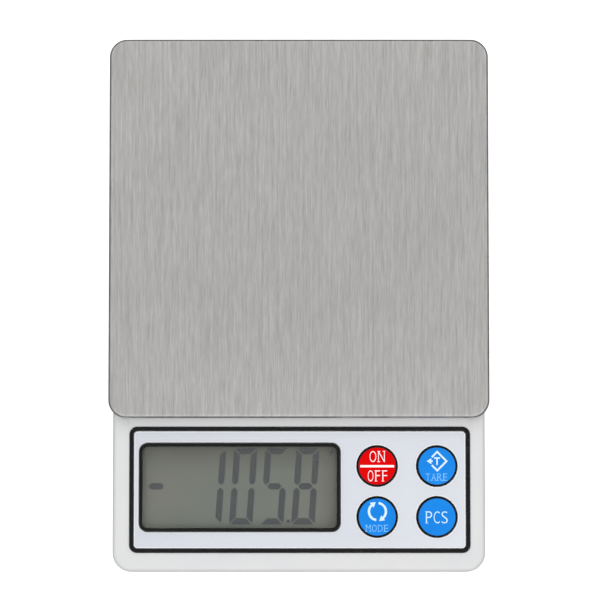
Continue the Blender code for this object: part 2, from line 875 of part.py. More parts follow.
# ---------------------------------------------------------------- pan
pan_axis = make_axis("pan_guide", (0, platter_y, platter_top))

work = bmesh.new()
inner_bend = max(PLATTER_BEND - PLATTER_SHEET, PLATTER_SHEET / 4)
add_loft(
    work,
    slab_rings(
        PLATTER_WIDTH,
        PLATTER_DEPTH,
        PLATTER_CORNER,
        [
            (PLATTER_SHEET + inner_bend, platter_underside),
            (PLATTER_SHEET, platter_underside - inner_bend),
            (PLATTER_SHEET, skirt_bottom),
            (0, skirt_bottom),
            *rounded_edge(0, platter_top, PLATTER_BEND),
        ],
    ),
)
make_object("steel_platter", work, steel, (0, platter_y, 0), pan_axis)

work = bmesh.new()
add_loft(
    work,
    slab_rings(
        CARRIER_SIZE,
        CARRIER_SIZE,
        CARRIER_CORNER,
        [
            (CARRIER_RIB, carrier_plate_top),
            (CARRIER_RIB, carrier_top),
            (0, carrier_top),
            (0, carrier_bottom),
        ],
    ),
)
platter_carrier = make_object("platter_carrier", work, grey_plastic, (0, platter_y, 0), pan_axis)


def carrier_additions(work):
    """Ribs across the tray and the hub that reaches down to the load cell."""
    reach = CARRIER_SIZE / 2 - CARRIER_RIB / 2
    low = carrier_plate_top - CARRIER_PLATE / 2
    half = CARRIER_RIB / 2
    for x in (-CARRIER_RIB_X, CARRIER_RIB_X):
        add_box(work, x - half, x + half, platter_y - reach, platter_y + reach, low, carrier_top)
    add_box(
        work,
        -hub_width / 2,
        hub_width / 2,
        free_y - hub_depth / 2,
        free_y + hub_depth / 2,
        hub_bottom,
        carrier_plate_top - CARRIER_PLATE / 3,
    )


def carrier_holes(work):
    for y in FREE_HOLES:
        add_cylinder(
            work, 0, y, hub_bottom - PAST, carrier_plate_top + PAST, SCREW_RADIUS + HOLE_FIT
        )


def carrier_counterbores(work):
    for y in FREE_HOLES:
        add_cylinder(
            work, 0, y, carrier_head_z - FIT, carrier_plate_top + PAST, SCREW_HEAD_RADIUS + HOLE_FIT
        )


addition(platter_carrier, "hub", carrier_additions)
cutter(platter_carrier, "holes", carrier_holes)
cutter(platter_carrier, "counterbores", carrier_counterbores)

carrier_screw = screw_mesh(
    "carrier_screw",
    SCREW_RADIUS,
    carrier_head_z - cell_bottom - SCREW_SHORT,
    SCREW_HEAD_RADIUS,
    SCREW_HEAD_HEIGHT,
)
for number, y in enumerate(FREE_HOLES, 1):
    screw = place(f"carrier_screw_{number}", carrier_screw, zinc, (0, y, carrier_head_z), pan_axis)
    screw.rotation_euler = (math.pi, 0, 0)

# ---------------------------------------------------------------- front panel and display
work = bmesh.new()
add_loft(
    work,
    slab_rings(
        panel_width,
        panel_depth,
        PANEL_CORNER,
        [
            (BEZEL_WIDTH, panel_bottom),
            (BEZEL_WIDTH, bezel_top - TRIM_EDGE),
            (BEZEL_WIDTH - TRIM_EDGE, bezel_top),
            (TRIM_EDGE, bezel_top),
            (0, bezel_top - TRIM_EDGE),
            (0, panel_bottom),
        ],
        (panel_x, panel_y),
    ),
    closed=True,
)
make_object("panel_bezel", work, black_gloss)

work = bmesh.new()
add_slab(
    work,
    panel_width - 2 * BEZEL_WIDTH - 2 * SIDE_FIT,
    panel_depth - 2 * BEZEL_WIDTH - 2 * SIDE_FIT,
    PANEL_CORNER - BEZEL_WIDTH,
    panel_bottom,
    panel_top,
    (panel_x, panel_y),
)
front_panel = make_object("front_panel", work, silver_panel)


def panel_openings(work):
    low, high = panel_bottom - PAST, panel_top + PAST
    add_slab(
        work,
        WINDOW_WIDTH + 2 * SIDE_FIT,
        WINDOW_DEPTH + 2 * SIDE_FIT,
        WINDOW_CORNER,
        low,
        high,
        (window_x, window_y),
    )
    for x, y in KEYS.values():
        add_cylinder(work, x, y, low, high, KEY_RADIUS + KEY_GAP, ROUND)


cutter(front_panel, "openings", panel_openings)

work = bmesh.new()
add_loft(
    work,
    slab_rings(
        WINDOW_WIDTH,
        WINDOW_DEPTH,
        WINDOW_CORNER,
        [
            (0, panel_bottom),
            (WINDOW_WALL, panel_bottom),
            (WINDOW_WALL, lip_bottom),
            (WINDOW_RIM, lip_bottom),
            (WINDOW_RIM, frame_top - TRIM_EDGE),
            (WINDOW_RIM - TRIM_EDGE, frame_top),
            (TRIM_EDGE, frame_top),
            (0, frame_top - TRIM_EDGE),
        ],
        (window_x, window_y),
    ),
    closed=True,
)
make_object("window_frame", work, black_gloss)

work = bmesh.new()
lens_inset = WINDOW_WALL + SIDE_FIT
add_slab(
    work,
    WINDOW_WIDTH - 2 * lens_inset,
    WINDOW_DEPTH - 2 * lens_inset,
    WINDOW_CORNER - lens_inset,
    panel_bottom,
    lens_top,
    (window_x, window_y),
)
make_object("display_window", work, clear_lens)

work = bmesh.new()
add_slab(work, lcd_width, lcd_depth, LCD_CORNER, lcd_bottom, lcd_top, (window_x, window_y))
make_object("lcd_glass", work, lcd_grey)

work = bmesh.new()
reflector_top = lcd_bottom - FIT
reflector_depth = lcd_depth - 4 * ZEBRA_DEPTH
add_slab(
    work,
    lcd_width - 2 * SIDE_FIT,
    reflector_depth,
    LCD_CORNER,
    reflector_top - REFLECTOR_THICKNESS,
    reflector_top,
    (window_x, window_y),
)
make_object("lcd_reflector", work, silver_panel)

for number, side in enumerate((-1, 1), 1):
    work = bmesh.new()
    strip_y = window_y + side * (lcd_depth / 2 - ZEBRA_DEPTH)
    add_box(
        work,
        window_x - lcd_width / 2 + ZEBRA_INSET,
        window_x + lcd_width / 2 - ZEBRA_INSET,
        strip_y - ZEBRA_DEPTH / 2,
        strip_y + ZEBRA_DEPTH / 2,
        board_top + FIT,
        lcd_bottom - FIT,
    )
    make_object(f"zebra_strip_{number}", work, rubber)

work = bmesh.new()
holder_inner = -SIDE_FIT
holder_outer = -SIDE_FIT - HOLDER_WALL
add_loft(
    work,
    slab_rings(
        lcd_width,
        lcd_depth,
        LCD_CORNER,
        [
            (holder_inner, board_top + FIT),
            (holder_inner, lcd_top),
            (holder_outer, lcd_top),
            (holder_outer, board_top + FIT),
        ],
        (window_x, window_y),
    ),
    closed=True,
)
make_object("lcd_holder", work, white_plastic)

# ---------------------------------------------------------------- board
work = bmesh.new()
half_x = board_width / 2
half_y = board_depth / 2
cut = BOARD_CHAMFER
board_outline = [
    (half_x, -half_y + cut),
    (half_x, half_y),
    (-half_x, half_y),
    (-half_x, -half_y + cut),
    (-half_x + cut, -half_y),
    (half_x - cut, -half_y),
]
add_loft(work, [[(x, board_y + y, z) for x, y in board_outline] for z in (board_bottom, board_top)])
main_board = make_object("main_board", work, board_green)


def board_holes(work):
    for x, y in BOARD_SCREWS:
        add_cylinder(
            work, x, y, board_bottom - PAST, board_top + PAST, SMALL_SCREW_RADIUS + HOLE_FIT
        )


cutter(main_board, "holes", board_holes)

work = bmesh.new()
add_turned(
    work,
    [
        (0, -FIT),
        (BLOB_RADIUS, -FIT),
        (BLOB_RADIUS * 0.85, -FIT - BLOB_HEIGHT * 0.55),
        (BLOB_RADIUS * 0.5, -FIT - BLOB_HEIGHT * 0.9),
        (0, -FIT - BLOB_HEIGHT),
    ],
    SMALL_ROUND,
)
make_object("controller_blob", work, rubber, (window_x, board_y, board_bottom))

work = bmesh.new()
add_box(
    work,
    SOCKET_X - SOCKET_WIDTH / 2,
    SOCKET_X + SOCKET_WIDTH / 2,
    socket_y - SOCKET_DEPTH / 2,
    socket_y + SOCKET_DEPTH / 2,
    socket_top - SOCKET_HEIGHT,
    socket_top,
)
make_object("cable_socket", work, white_plastic)


# ---------------------------------------------------------------- keys
def make_key_set(name, x, y, plastic):
    """A key cap and its plunger on one guide, over the body of its switch."""
    cap_top = panel_top + KEY_PROUD
    axis = make_axis(f"{name}_guide", (x, y, cap_top))
    cap = bmesh.new()
    add_turned(
        cap,
        [
            (0, cap_top),
            (KEY_RADIUS - KEY_EDGE, cap_top),
            (KEY_RADIUS, cap_top - KEY_EDGE),
            (KEY_RADIUS, flange_top),
            (KEY_RADIUS + KEY_FLANGE, flange_top),
            (KEY_RADIUS + KEY_FLANGE, flange_bottom),
            (0, flange_bottom),
        ],
        ROUND,
    )
    make_object(f"{name}_key", cap, plastic, (x, y, 0), axis)

    plunger = bmesh.new()
    add_turned(
        plunger,
        [
            (0, plunger_top),
            (PLUNGER_RADIUS, plunger_top),
            (PLUNGER_RADIUS, plunger_top - PLUNGER_HEIGHT),
            (0, plunger_top - PLUNGER_HEIGHT),
        ],
    )
    make_object(f"{name}_plunger", plunger, grey_plastic, (x, y, 0), axis)

    body = bmesh.new()
    add_slab(body, SWITCH_SIDE, SWITCH_SIDE, SWITCH_CORNER, switch_bottom, switch_top, (x, y))
    switch = make_object(f"{name}_switch", body, zinc)
    well = plunger_top - PLUNGER_HEIGHT - KEY_TRAVEL - FIT
    cutter(
        switch,
        "well",
        lambda work: add_cylinder(work, x, y, well, switch_top + PAST, PLUNGER_RADIUS + HOLE_FIT),
    )


for key_name, (key_x, key_centre_y) in KEYS.items():
    make_key_set(key_name, key_x, key_centre_y, red_plastic if key_name == "on_off" else blue_plastic)

# ---------------------------------------------------------------- batteries
work = bmesh.new()
add_turned(
    work,
    [
        (0, BATTERY_LENGTH / 2 + BATTERY_NUB),
        (BATTERY_NUB_RADIUS, BATTERY_LENGTH / 2 + BATTERY_NUB),
        (BATTERY_NUB_RADIUS, BATTERY_LENGTH / 2),
        (BATTERY_RADIUS - BATTERY_EDGE, BATTERY_LENGTH / 2),
        (BATTERY_RADIUS, BATTERY_LENGTH / 2 - BATTERY_EDGE),
        (BATTERY_RADIUS, BATTERY_EDGE - BATTERY_LENGTH / 2),
        (BATTERY_RADIUS - BATTERY_EDGE, -BATTERY_LENGTH / 2),
        (0, -BATTERY_LENGTH / 2),
    ],
    ROUND,
)
battery_offset = contact_x - CONTACT_THICKNESS / 2 - FIT - BATTERY_NUB - BATTERY_LENGTH / 2
battery_1 = make_object(
    "battery_cell_1", work, battery_wrap, (battery_offset, BATTERY_ROWS[0], battery_z)
)
battery_1.rotation_euler = (0, math.pi / 2, 0)
battery_2 = place(
    "battery_cell_2", battery_1.data, battery_wrap, (-battery_offset, BATTERY_ROWS[1], battery_z)
)
battery_2.rotation_euler = (0, -math.pi / 2, 0)


def add_contact_plate(work, x, y, depth):
    half = CONTACT_THICKNESS / 2
    low = battery_z - CONTACT_SIDE / 2
    add_box(work, x - half, x + half, y - depth / 2, y + depth / 2, low, low + CONTACT_SIDE)


for name, y in (
    ("battery_contact_positive", BATTERY_ROWS[0]),
    ("battery_contact_negative", BATTERY_ROWS[1]),
):
    work = bmesh.new()
    add_contact_plate(work, contact_x, y, CONTACT_SIDE)
    contact = make_object(name, work, zinc)

    def tab(work, y=y):
        half = CONTACT_THICKNESS / 2
        add_box(
            work,
            contact_x - CONTACT_THICKNESS / 4,
            tab_end,
            y - TAB_WIDTH / 2,
            y + TAB_WIDTH / 2,
            tab_z - half,
            tab_z + half,
        )

    addition(contact, "tab", tab)

work = bmesh.new()
link_depth = BATTERY_ROWS[1] - BATTERY_ROWS[0] + CONTACT_SIDE
add_contact_plate(work, -contact_x, bay_y, link_depth)
make_object("battery_link", work, zinc)


def spring_route(x, y, side):
    """A cone of wire that narrows from its contact towards the cell; side is +1 or -1 along X."""
    steps = int(SPRING_TURNS * COIL_STEPS)
    rise = SPRING_LENGTH - 2 * SPRING_WIRE - FIT
    route = []
    for step in range(steps + 1):
        share = step / steps
        angle = 2 * math.pi * SPRING_TURNS * share
        radius = SPRING_WIDE + (SPRING_NARROW - SPRING_WIDE) * share
        route.append(
            (
                x + side * (SPRING_WIRE + rise * share),
                y + radius * math.cos(angle),
                battery_z + radius * math.sin(angle),
            )
        )
    return route


spring_x = contact_x - CONTACT_THICKNESS / 2 - FIT
make_tube("battery_spring_1", spring_route(-spring_x, BATTERY_ROWS[0], 1), SPRING_WIRE, zinc)
make_tube("battery_spring_2", spring_route(spring_x, BATTERY_ROWS[1], -1), SPRING_WIRE, zinc)

# Door: slides on two tongues and is let go past the back of the case
door_axis = make_axis("door_slide", (0, bay_y, base_bottom))
door_front = bay_front + 2 * FIT
door_back = case_back - CASE_DRAFT
door_half = bay_width / 2 - SLIDE_FIT
work = bmesh.new()
add_box(work, -door_half, door_half, door_front - bay_y, door_back - bay_y, base_bottom, door_top - FIT)
battery_door = make_object("battery_door", work, white_plastic, (0, bay_y, 0), door_axis)


def door_additions(work):
    """Side tongues, and finger ribs on the outer face."""
    low = (base_bottom + door_top - DOOR_TONGUE_THICKNESS) / 2
    half = bay_width / 2 + DOOR_TONGUE
    front, back = door_front + FIT, door_back - DOOR_TONGUE_END
    add_box(work, -half, half, front, back, low, low + DOOR_TONGUE_THICKNESS)


def door_ribs(work):
    half = DOOR_RIB_LENGTH / 2
    for row in range(DOOR_RIBS):
        y = door_back - DOOR_RIB_INSET - row * DOOR_RIB_PITCH
        add_box(work, -half, half, y - DOOR_RIB, y + DOOR_RIB, base_bottom - DOOR_RIB, base_bottom + FIT)


addition(battery_door, "tongues", door_additions)
addition(battery_door, "ribs", door_ribs)

# ---------------------------------------------------------------- wires
make_tube(
    "load_cell_cable",
    smooth_route(
        [
            (GAUGE_WIDTH / 2 + FIT + CABLE_RADIUS * 0.2, cell_y - 0.004, cell_top + FIT + CABLE_RADIUS),
            (GAUGE_WIDTH / 2 + 0.003, cell_y - 0.0045, cell_top + FIT + CABLE_RADIUS),
            (GAUGE_WIDTH / 2 + 0.0085, cell_y - 0.008, cell_top - 0.001),
            (SOCKET_X + 0.001, cell_y - 0.022, lane_z),
            (SOCKET_X, socket_y + 0.030, lane_z),
            (SOCKET_X, socket_y + SOCKET_DEPTH / 2 + 0.006, socket_top - SOCKET_HEIGHT / 2),
            (SOCKET_X, socket_y + SOCKET_DEPTH / 2 + FIT, socket_top - SOCKET_HEIGHT / 2),
        ],
        WIRE_STEPS,
    ),
    CABLE_RADIUS,
    white_plastic,
)

for name, row, lane, material in (
    ("battery_lead_red", BATTERY_ROWS[0], RED_LANE_X, red_wire),
    ("battery_lead_black", BATTERY_ROWS[1], BLACK_LANE_X, black_wire),
):
    make_tube(
        name,
        smooth_route(
            [
                (tab_end + FIT, row, tab_z),
                (lane, row - 0.003, tab_z),
                (lane + 0.001, row - 0.012, tab_z - 0.001),
                (lane + 0.001, platter_y, lane_z),
                (lane, board_back + 0.012, lane_z),
                (lane, board_back - 0.002, lane_z + 0.0004),
                (lane, board_back - 0.005, board_bottom - FIT - WIRE_RADIUS),
            ],
            WIRE_STEPS,
        ),
        WIRE_RADIUS,
        material,
    )
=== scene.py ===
# %% [markdown]
# # A digital gram scale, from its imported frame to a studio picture
# The frame holds every piece of the scale at its real size, on the body that it moves
# with. This lesson remakes the pieces that show with finer shapes, gives each finish its
# own node material, and lights the scale on a pale floor.

# %% Load the frame
import math

import bmesh
import bpy
from mathutils import Matrix, Vector


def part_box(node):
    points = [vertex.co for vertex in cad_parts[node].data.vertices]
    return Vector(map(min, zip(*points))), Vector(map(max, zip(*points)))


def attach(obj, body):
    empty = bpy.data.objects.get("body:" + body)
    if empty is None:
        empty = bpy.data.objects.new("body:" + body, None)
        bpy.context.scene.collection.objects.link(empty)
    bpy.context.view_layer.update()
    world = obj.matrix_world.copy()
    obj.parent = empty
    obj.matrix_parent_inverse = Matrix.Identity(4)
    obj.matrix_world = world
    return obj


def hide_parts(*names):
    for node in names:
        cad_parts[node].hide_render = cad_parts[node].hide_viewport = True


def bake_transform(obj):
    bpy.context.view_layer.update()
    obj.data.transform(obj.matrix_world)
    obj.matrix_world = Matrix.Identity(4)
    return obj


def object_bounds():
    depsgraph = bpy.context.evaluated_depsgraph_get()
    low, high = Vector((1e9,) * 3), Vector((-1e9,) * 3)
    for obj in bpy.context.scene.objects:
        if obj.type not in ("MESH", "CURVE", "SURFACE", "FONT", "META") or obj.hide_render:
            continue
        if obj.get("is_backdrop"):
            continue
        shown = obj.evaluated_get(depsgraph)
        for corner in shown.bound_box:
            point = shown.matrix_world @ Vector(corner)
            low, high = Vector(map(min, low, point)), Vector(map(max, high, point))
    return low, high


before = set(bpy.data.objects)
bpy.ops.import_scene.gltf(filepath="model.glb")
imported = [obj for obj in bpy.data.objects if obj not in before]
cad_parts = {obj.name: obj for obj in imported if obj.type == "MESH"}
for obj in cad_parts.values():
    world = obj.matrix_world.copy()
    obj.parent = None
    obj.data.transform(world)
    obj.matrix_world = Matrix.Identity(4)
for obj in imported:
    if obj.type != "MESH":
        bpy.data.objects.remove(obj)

cad_low, cad_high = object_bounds()
MM = 0.001  # the frame is in metres, and the lesson's sizes are easier to read in millimetres
print("overall size in mm:", [round(side / MM, 1) for side in cad_high - cad_low])

# %% [markdown]
# ## The camera, the floor and the light
# The scale is seen from straight above, leaning a little to the front, through a long
# lens, so that its sides stay out of sight. They come before any piece.

# %% Camera
LENS = 150
VIEW_WIDTH = 201.6 * MM  # what the camera takes in, at the platter's height
CAMERA_TILT = math.radians(3.5)  # from straight down, towards the front
SENSOR = 36
aim = Vector((0.38 * MM, 1.6 * MM, cad_high.z))
distance = VIEW_WIDTH * LENS / SENSOR
back = Vector((0, -math.sin(CAMERA_TILT), math.cos(CAMERA_TILT)))
bpy.ops.object.camera_add(location=aim + distance * back, rotation=(CAMERA_TILT, 0, 0))
camera = bpy.context.object
camera.data.lens = LENS
camera.data.sensor_width = SENSOR
camera.data.clip_start = 0.01
bpy.context.scene.camera = camera
print("camera", round(distance, 3), "m away")

# %% [markdown]
# A material is a small tree of nodes, and writing one out takes many lines that differ
# only in their names and values. `add_node` makes a node, sets its options and fills its
# inputs. A value is typed in, and another node's output is linked.

# %% A helper for every node
def add_node(tree, kind, inputs=None, **options):
    """Adds a node. An input's value is a number, a colour, or an output to link."""
    node = tree.nodes.new("ShaderNode" + kind)
    for name, value in options.items():
        setattr(node, name, value)
    for name, value in (inputs or {}).items():
        if isinstance(value, bpy.types.NodeSocket):
            tree.links.new(value, node.inputs[name])
        else:
            node.inputs[name].default_value = value
    return node


def paint(red, green, blue):
    """A colour from the everyday scale of 0 to 255, as the light value that shaders use."""
    def light(level):
        share = level / 255
        return share / 12.92 if share <= 0.04045 else ((share + 0.055) / 1.055) ** 2.4

    return (light(red), light(green), light(blue), 1)


def new_material(name):
    """An empty material, its tree and its output node."""
    material = bpy.data.materials.new(name)
    material.use_nodes = True
    tree = material.node_tree
    tree.nodes.clear()
    return material, tree, tree.nodes.new("ShaderNodeOutputMaterial")


print("white is", [round(level, 2) for level in paint(255, 255, 255)])

# %% [markdown]
# The light is a studio's: a soft white sky that is brightest a little way from overhead
# and falls off to dark grey at the horizon. Steel shows what stands round it, so that
# fall is what draws a thin dark line along its rounded edge. A weaker light comes from
# below, for the views of the underside. The camera itself sees a pale backdrop.

# %% Sky
SKY_STRENGTH = 0.89
world = bpy.data.worlds.new("studio_sky")
bpy.context.scene.world = world
world.use_nodes = True
sky = world.node_tree
sky.nodes.clear()
direction = add_node(sky, "TexCoord").outputs["Generated"]
height = add_node(sky, "SeparateXYZ", {0: direction}).outputs["Z"]
from_below = add_node(sky, "MapRange", {"Value": height, "From Min": -1.0}).outputs[0]
bands = add_node(sky, "ValToRGB", {"Fac": from_below})
SKY_BANDS = (  # place, from 0 straight below over 0.5 at the horizon to 1 overhead, and light
    (0.0, 0.42), (0.35, 0.32), (0.46, 0.17), (0.5, 0.17), (0.59, 0.30),
    (0.71, 0.80), (0.83, 1.28), (0.93, 1.12), (1.0, 1.0),
)
SKY_BLUE = 1.01  # how much stronger its blue is
BACKDROP = (246, 247, 248)
ramp = bands.color_ramp
while len(ramp.elements) < len(SKY_BANDS):
    ramp.elements.new(0.5)
for stop, (place, level) in zip(ramp.elements, SKY_BANDS):
    stop.position = place
    stop.color = (level, level, level * SKY_BLUE, 1)
lit = add_node(sky, "Background", {"Color": bands.outputs["Color"], "Strength": SKY_STRENGTH})
seen = add_node(sky, "Background", {"Color": paint(*BACKDROP)})
eye = add_node(sky, "LightPath").outputs["Is Camera Ray"]
both = add_node(sky, "MixShader", {0: eye, 1: lit.outputs[0], 2: seen.outputs[0]})
world_out = sky.nodes.new("ShaderNodeOutputWorld")
sky.links.new(both.outputs[0], world_out.inputs["Surface"])
print("sky of", len(SKY_BANDS), "bands")

# %% [markdown]
# Three wide lamps help the sky. The one high at the front lights the strip of deck that
# the plate would shade, the one behind draws a pale line along the plate's bend, and the
# weakest one on the right gives the plastic its slow change of tone. The floor glows, as
# a light table does, so the scale's shadow is faint. Only the camera sees it: the steel's
# edges stay dark, and from below it isn't there, which leaves the underside in view.

# %% Lamps and floor
LAMP_SIZE = 3.0
LAMPS = (  # name, place and power
    ("front_lamp", (0.1, -1.3, 1.5), 10.0),
    ("side_lamp", (1.5, 0.4, 1.3), 3.0),
    ("back_lamp", (-0.5, 1.3, 1.3), 5.5),
)
for name, place, power in LAMPS:
    bpy.ops.object.light_add(type="AREA", location=place)
    lamp = bpy.context.object
    lamp.name = name
    lamp.data.size = LAMP_SIZE
    lamp.data.energy = power
    lamp.rotation_euler = (aim - Vector(place)).to_track_quat("-Z", "Y").to_euler()

FLOOR_SIZE = 12
bpy.ops.mesh.primitive_plane_add(size=FLOOR_SIZE, location=(0, 0, cad_low.z))
floor = bpy.context.object
floor.name = "studio_floor"
matter, tree, out = new_material("studio_paper")
place = add_node(tree, "TexCoord").outputs["Object"]
cloud = add_node(tree, "TexNoise", {"Vector": place, "Scale": 3.0, "Detail": 3.0})
tones = {0: cloud.outputs[0], 6: paint(244, 245, 246), 7: paint(250, 250, 250)}
tone = add_node(tree, "Mix", tones, data_type="RGBA").outputs[2]
glowing = add_node(tree, "BsdfPrincipled", {
    "Base Color": tone, "Roughness": 0.85, "Emission Color": tone, "Emission Strength": 0.55,
    "Specular IOR Level": 0.1,
})
nothing = add_node(tree, "BsdfTransparent")
under = add_node(tree, "NewGeometry").outputs["Backfacing"]
sheet = add_node(tree, "MixShader", {0: under, 1: glowing.outputs[0], 2: nothing.outputs[0]})
tree.links.new(sheet.outputs[0], out.inputs["Surface"])
floor.data.materials.append(matter)
floor.visible_diffuse = floor.visible_glossy = floor.visible_shadow = False
floor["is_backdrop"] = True
bpy.context.scene.view_settings.view_transform = "Standard"
print("floor at z =", round(cad_low.z, 4))

# %% [markdown]
# ## Effects that several finishes share
# Grain, cloudy unevenness, brushed lines, rubbed edges, scratches and dust turn up on
# many pieces, each time a little different. On the metals, the rubbed edges also carry a
# painted highlight. Each is a node group with its own inputs, so it is made once and
# placed in a material with that material's values. Patterns are laid out in Object
# coordinates, which are metres from the middle of the table.

# %% A helper for groups
def new_effect(name, inputs, outputs):
    """A node group with these number inputs and outputs. It gives the group and both ends."""
    group = bpy.data.node_groups.new(name, "ShaderNodeTree")
    for title, value in inputs.items():
        socket = group.interface.new_socket(title, in_out="INPUT", socket_type="NodeSocketFloat")
        socket.default_value = value
    for title in outputs:
        group.interface.new_socket(title, in_out="OUTPUT", socket_type="NodeSocketFloat")
    ends = group.nodes.new("NodeGroupInput"), group.nodes.new("NodeGroupOutput")
    return group, ends[0].outputs, ends[1].inputs


def math_node(tree, operation, *values):
    """One sum. The values are numbers or outputs."""
    inputs = dict(enumerate(values))
    return add_node(tree, "Math", inputs, operation=operation).outputs[0]


def spread(tree, value, low, high, new_low=0.0, new_high=1.0):
    """Stretches a value between two limits to two new ones, and stops there."""
    limits = {"From Min": low, "From Max": high, "To Min": new_low, "To Max": new_high}
    return add_node(tree, "MapRange", {"Value": value, **limits}).outputs[0]


def noise(tree, place, scale, detail=3.0, roughness=0.5):
    """A soft random pattern from about 0.25 to 0.75. Scale is in lumps to the metre."""
    inputs = {"Vector": place, "Scale": scale, "Detail": detail, "Roughness": roughness}
    return add_node(tree, "TexNoise", inputs).outputs[0]


print("helpers for groups are ready")

# %% [markdown]
# Moulded plastic has a fine even grain from the mould's surface, and a slow cloudiness
# where the melt flowed and cooled. The group gives both as masks from 0 to 1.

# %% Grain
grain_group, given, made = new_effect(
    "moulded_grain", {"Grains": 3000.0, "Clouds": 45.0}, ("Grain", "Cloud")
)
place = add_node(grain_group, "TexCoord").outputs["Object"]
fine = noise(grain_group, place, given["Grains"], 2.0, 0.6)
slow = noise(grain_group, place, given["Clouds"], 3.0, 0.55)
grain_group.links.new(spread(grain_group, fine, 0.3, 0.7), made["Grain"])
grain_group.links.new(spread(grain_group, slow, 0.35, 0.65), made["Cloud"])
print("group", grain_group.name)

# %% [markdown]
# Brushing pulls a belt of grit across the sheet, so every scratch is short, very thin
# and runs the same way. Noise that is stretched along one axis gives lines of that kind.
# Two layers of different length keep them from looking combed.

# %% Brushed lines
brushed_group, given, made = new_effect(
    "brushed_lines", {"Across": 2600.0, "Along": 110.0, "Longer": 0.35}, ("Lines", "Streaks")
)
place = add_node(brushed_group, "TexCoord").outputs["Object"]
for title, share, shift in (("Lines", 1.0, 0.0), ("Streaks", 0.4, 3.7)):
    across = math_node(brushed_group, "MULTIPLY", given["Across"], share)
    along = math_node(brushed_group, "MULTIPLY", given["Along"], share)
    if title == "Streaks":
        along = math_node(brushed_group, "MULTIPLY", along, given["Longer"])
    stretch = add_node(brushed_group, "CombineXYZ", {"X": across, "Y": along, "Z": across})
    pulled = add_node(
        brushed_group, "VectorMath", {0: place, 1: stretch.outputs[0]}, operation="MULTIPLY"
    ).outputs[0]
    moved = add_node(
        brushed_group, "VectorMath", {0: pulled, 1: (shift, shift, shift)}, operation="ADD"
    ).outputs[0]
    lines = noise(brushed_group, moved, 1.0, 3.0, 0.6)
    brushed_group.links.new(spread(brushed_group, lines, 0.3, 0.7), made[title])
print("group", brushed_group.name)

# %% [markdown]
# Hands, cloths and the next part in the box rub the edges first. A rounded edge is the
# only place where a flat-sided piece faces neither up nor sideways, so the group finds it
# by the slope of the surface and breaks the mask up with noise. The metals also use this
# mask for a painted highlight along their rounded bends.

# %% Rubbed edges
edge_wear_and_highlight_group, given, made = new_effect(
    "rubbed_and_highlit_edges", {"Patches": 260.0, "Amount": 0.5}, ("Edge",)
)
facing = add_node(edge_wear_and_highlight_group, "NewGeometry").outputs["Normal"]
upright_share = add_node(edge_wear_and_highlight_group, "SeparateXYZ", {0: facing}).outputs["Z"]
slope = math_node(edge_wear_and_highlight_group, "ABSOLUTE", upright_share)
level = math_node(edge_wear_and_highlight_group, "SUBTRACT", 1.0, slope)
rim = math_node(edge_wear_and_highlight_group, "MULTIPLY", math_node(edge_wear_and_highlight_group, "MULTIPLY", slope, level), 4.0)
place = add_node(edge_wear_and_highlight_group, "TexCoord").outputs["Object"]
patches = spread(edge_wear_and_highlight_group, noise(edge_wear_and_highlight_group, place, given["Patches"], 4.0, 0.7), 0.42, 0.62)
patchy = math_node(edge_wear_and_highlight_group, "MULTIPLY", rim, patches)
edge_wear_and_highlight_group.links.new(math_node(edge_wear_and_highlight_group, "MULTIPLY", patchy, given["Amount"]), made["Edge"])
print("group", edge_wear_and_highlight_group.name)

# %% [markdown]
# Use leaves hairline scratches, and finger grease that dulls a shiny face in soft
# patches. Dust settles only on what faces up, and mostly stays as separate specks.

# %% Scratches, smudges and dust
use_group, given, made = new_effect(
    "signs_of_use", {"Scratches": 140.0, "Smudges": 38.0, "Specks": 2200.0},
    ("Scratch", "Smudge", "Dust"),
)
place = add_node(use_group, "TexCoord").outputs["Object"]
warp = add_node(use_group, "TexNoise", {"Vector": place, "Scale": 30.0, "Detail": 1.0}).outputs[1]
bent = add_node(use_group, "Mix", {0: 0.012, 4: place, 5: warp}, data_type="VECTOR").outputs[1]
turn = {0: bent, 2: (0.0, 0.0, 0.6), 3: (1.0, 0.06, 1.0)}
turned = add_node(use_group, "Mapping", turn).outputs[0]
cracks = {"Vector": turned, "Scale": given["Scratches"]}
cells = add_node(use_group, "TexVoronoi", cracks, feature="DISTANCE_TO_EDGE").outputs[0]
thin = spread(use_group, cells, 0.0, 0.012, 1.0, 0.0)
seldom = spread(use_group, noise(use_group, place, 70.0), 0.56, 0.66)
use_group.links.new(math_node(use_group, "MULTIPLY", thin, seldom), made["Scratch"])
smudges = noise(use_group, place, given["Smudges"], 4.0)
use_group.links.new(spread(use_group, smudges, 0.48, 0.68), made["Smudge"])
facing = add_node(use_group, "NewGeometry").outputs["Normal"]
upward = spread(use_group, add_node(use_group, "SeparateXYZ", {0: facing}).outputs["Z"], 0.6, 1.0)
specks = spread(use_group, noise(use_group, place, given["Specks"], 1.0), 0.72, 0.8)
use_group.links.new(math_node(use_group, "MULTIPLY", specks, upward), made["Dust"])
print("group", use_group.name)

# %% [markdown]
# ## Plastics and rubber
# The case, the keys, the feet and the wires' jackets are all moulded. They share one
# recipe, with their own colours and values: two close tones that the flow clouds mix,
# paler rubbed edges, dulled smudges, a few specks of dust, and the mould's grain as bump.

# %% Helpers for materials
def effect(tree, group, **values):
    """Places a group in a material, with that material's values."""
    node = tree.nodes.new("ShaderNodeGroup")
    node.node_tree = group
    for title, value in values.items():
        node.inputs[title].default_value = value
    return node.outputs


def blend_colours(tree, share, first, second):
    """Mixes two colours. Each is an output to link, or its levels from 0 to 255."""
    first, second = (
        paint(*colour) if isinstance(colour, tuple) else colour for colour in (first, second)
    )
    inputs = {0: share, 6: first, 7: second}
    return add_node(tree, "Mix", inputs, data_type="RGBA").outputs[2]


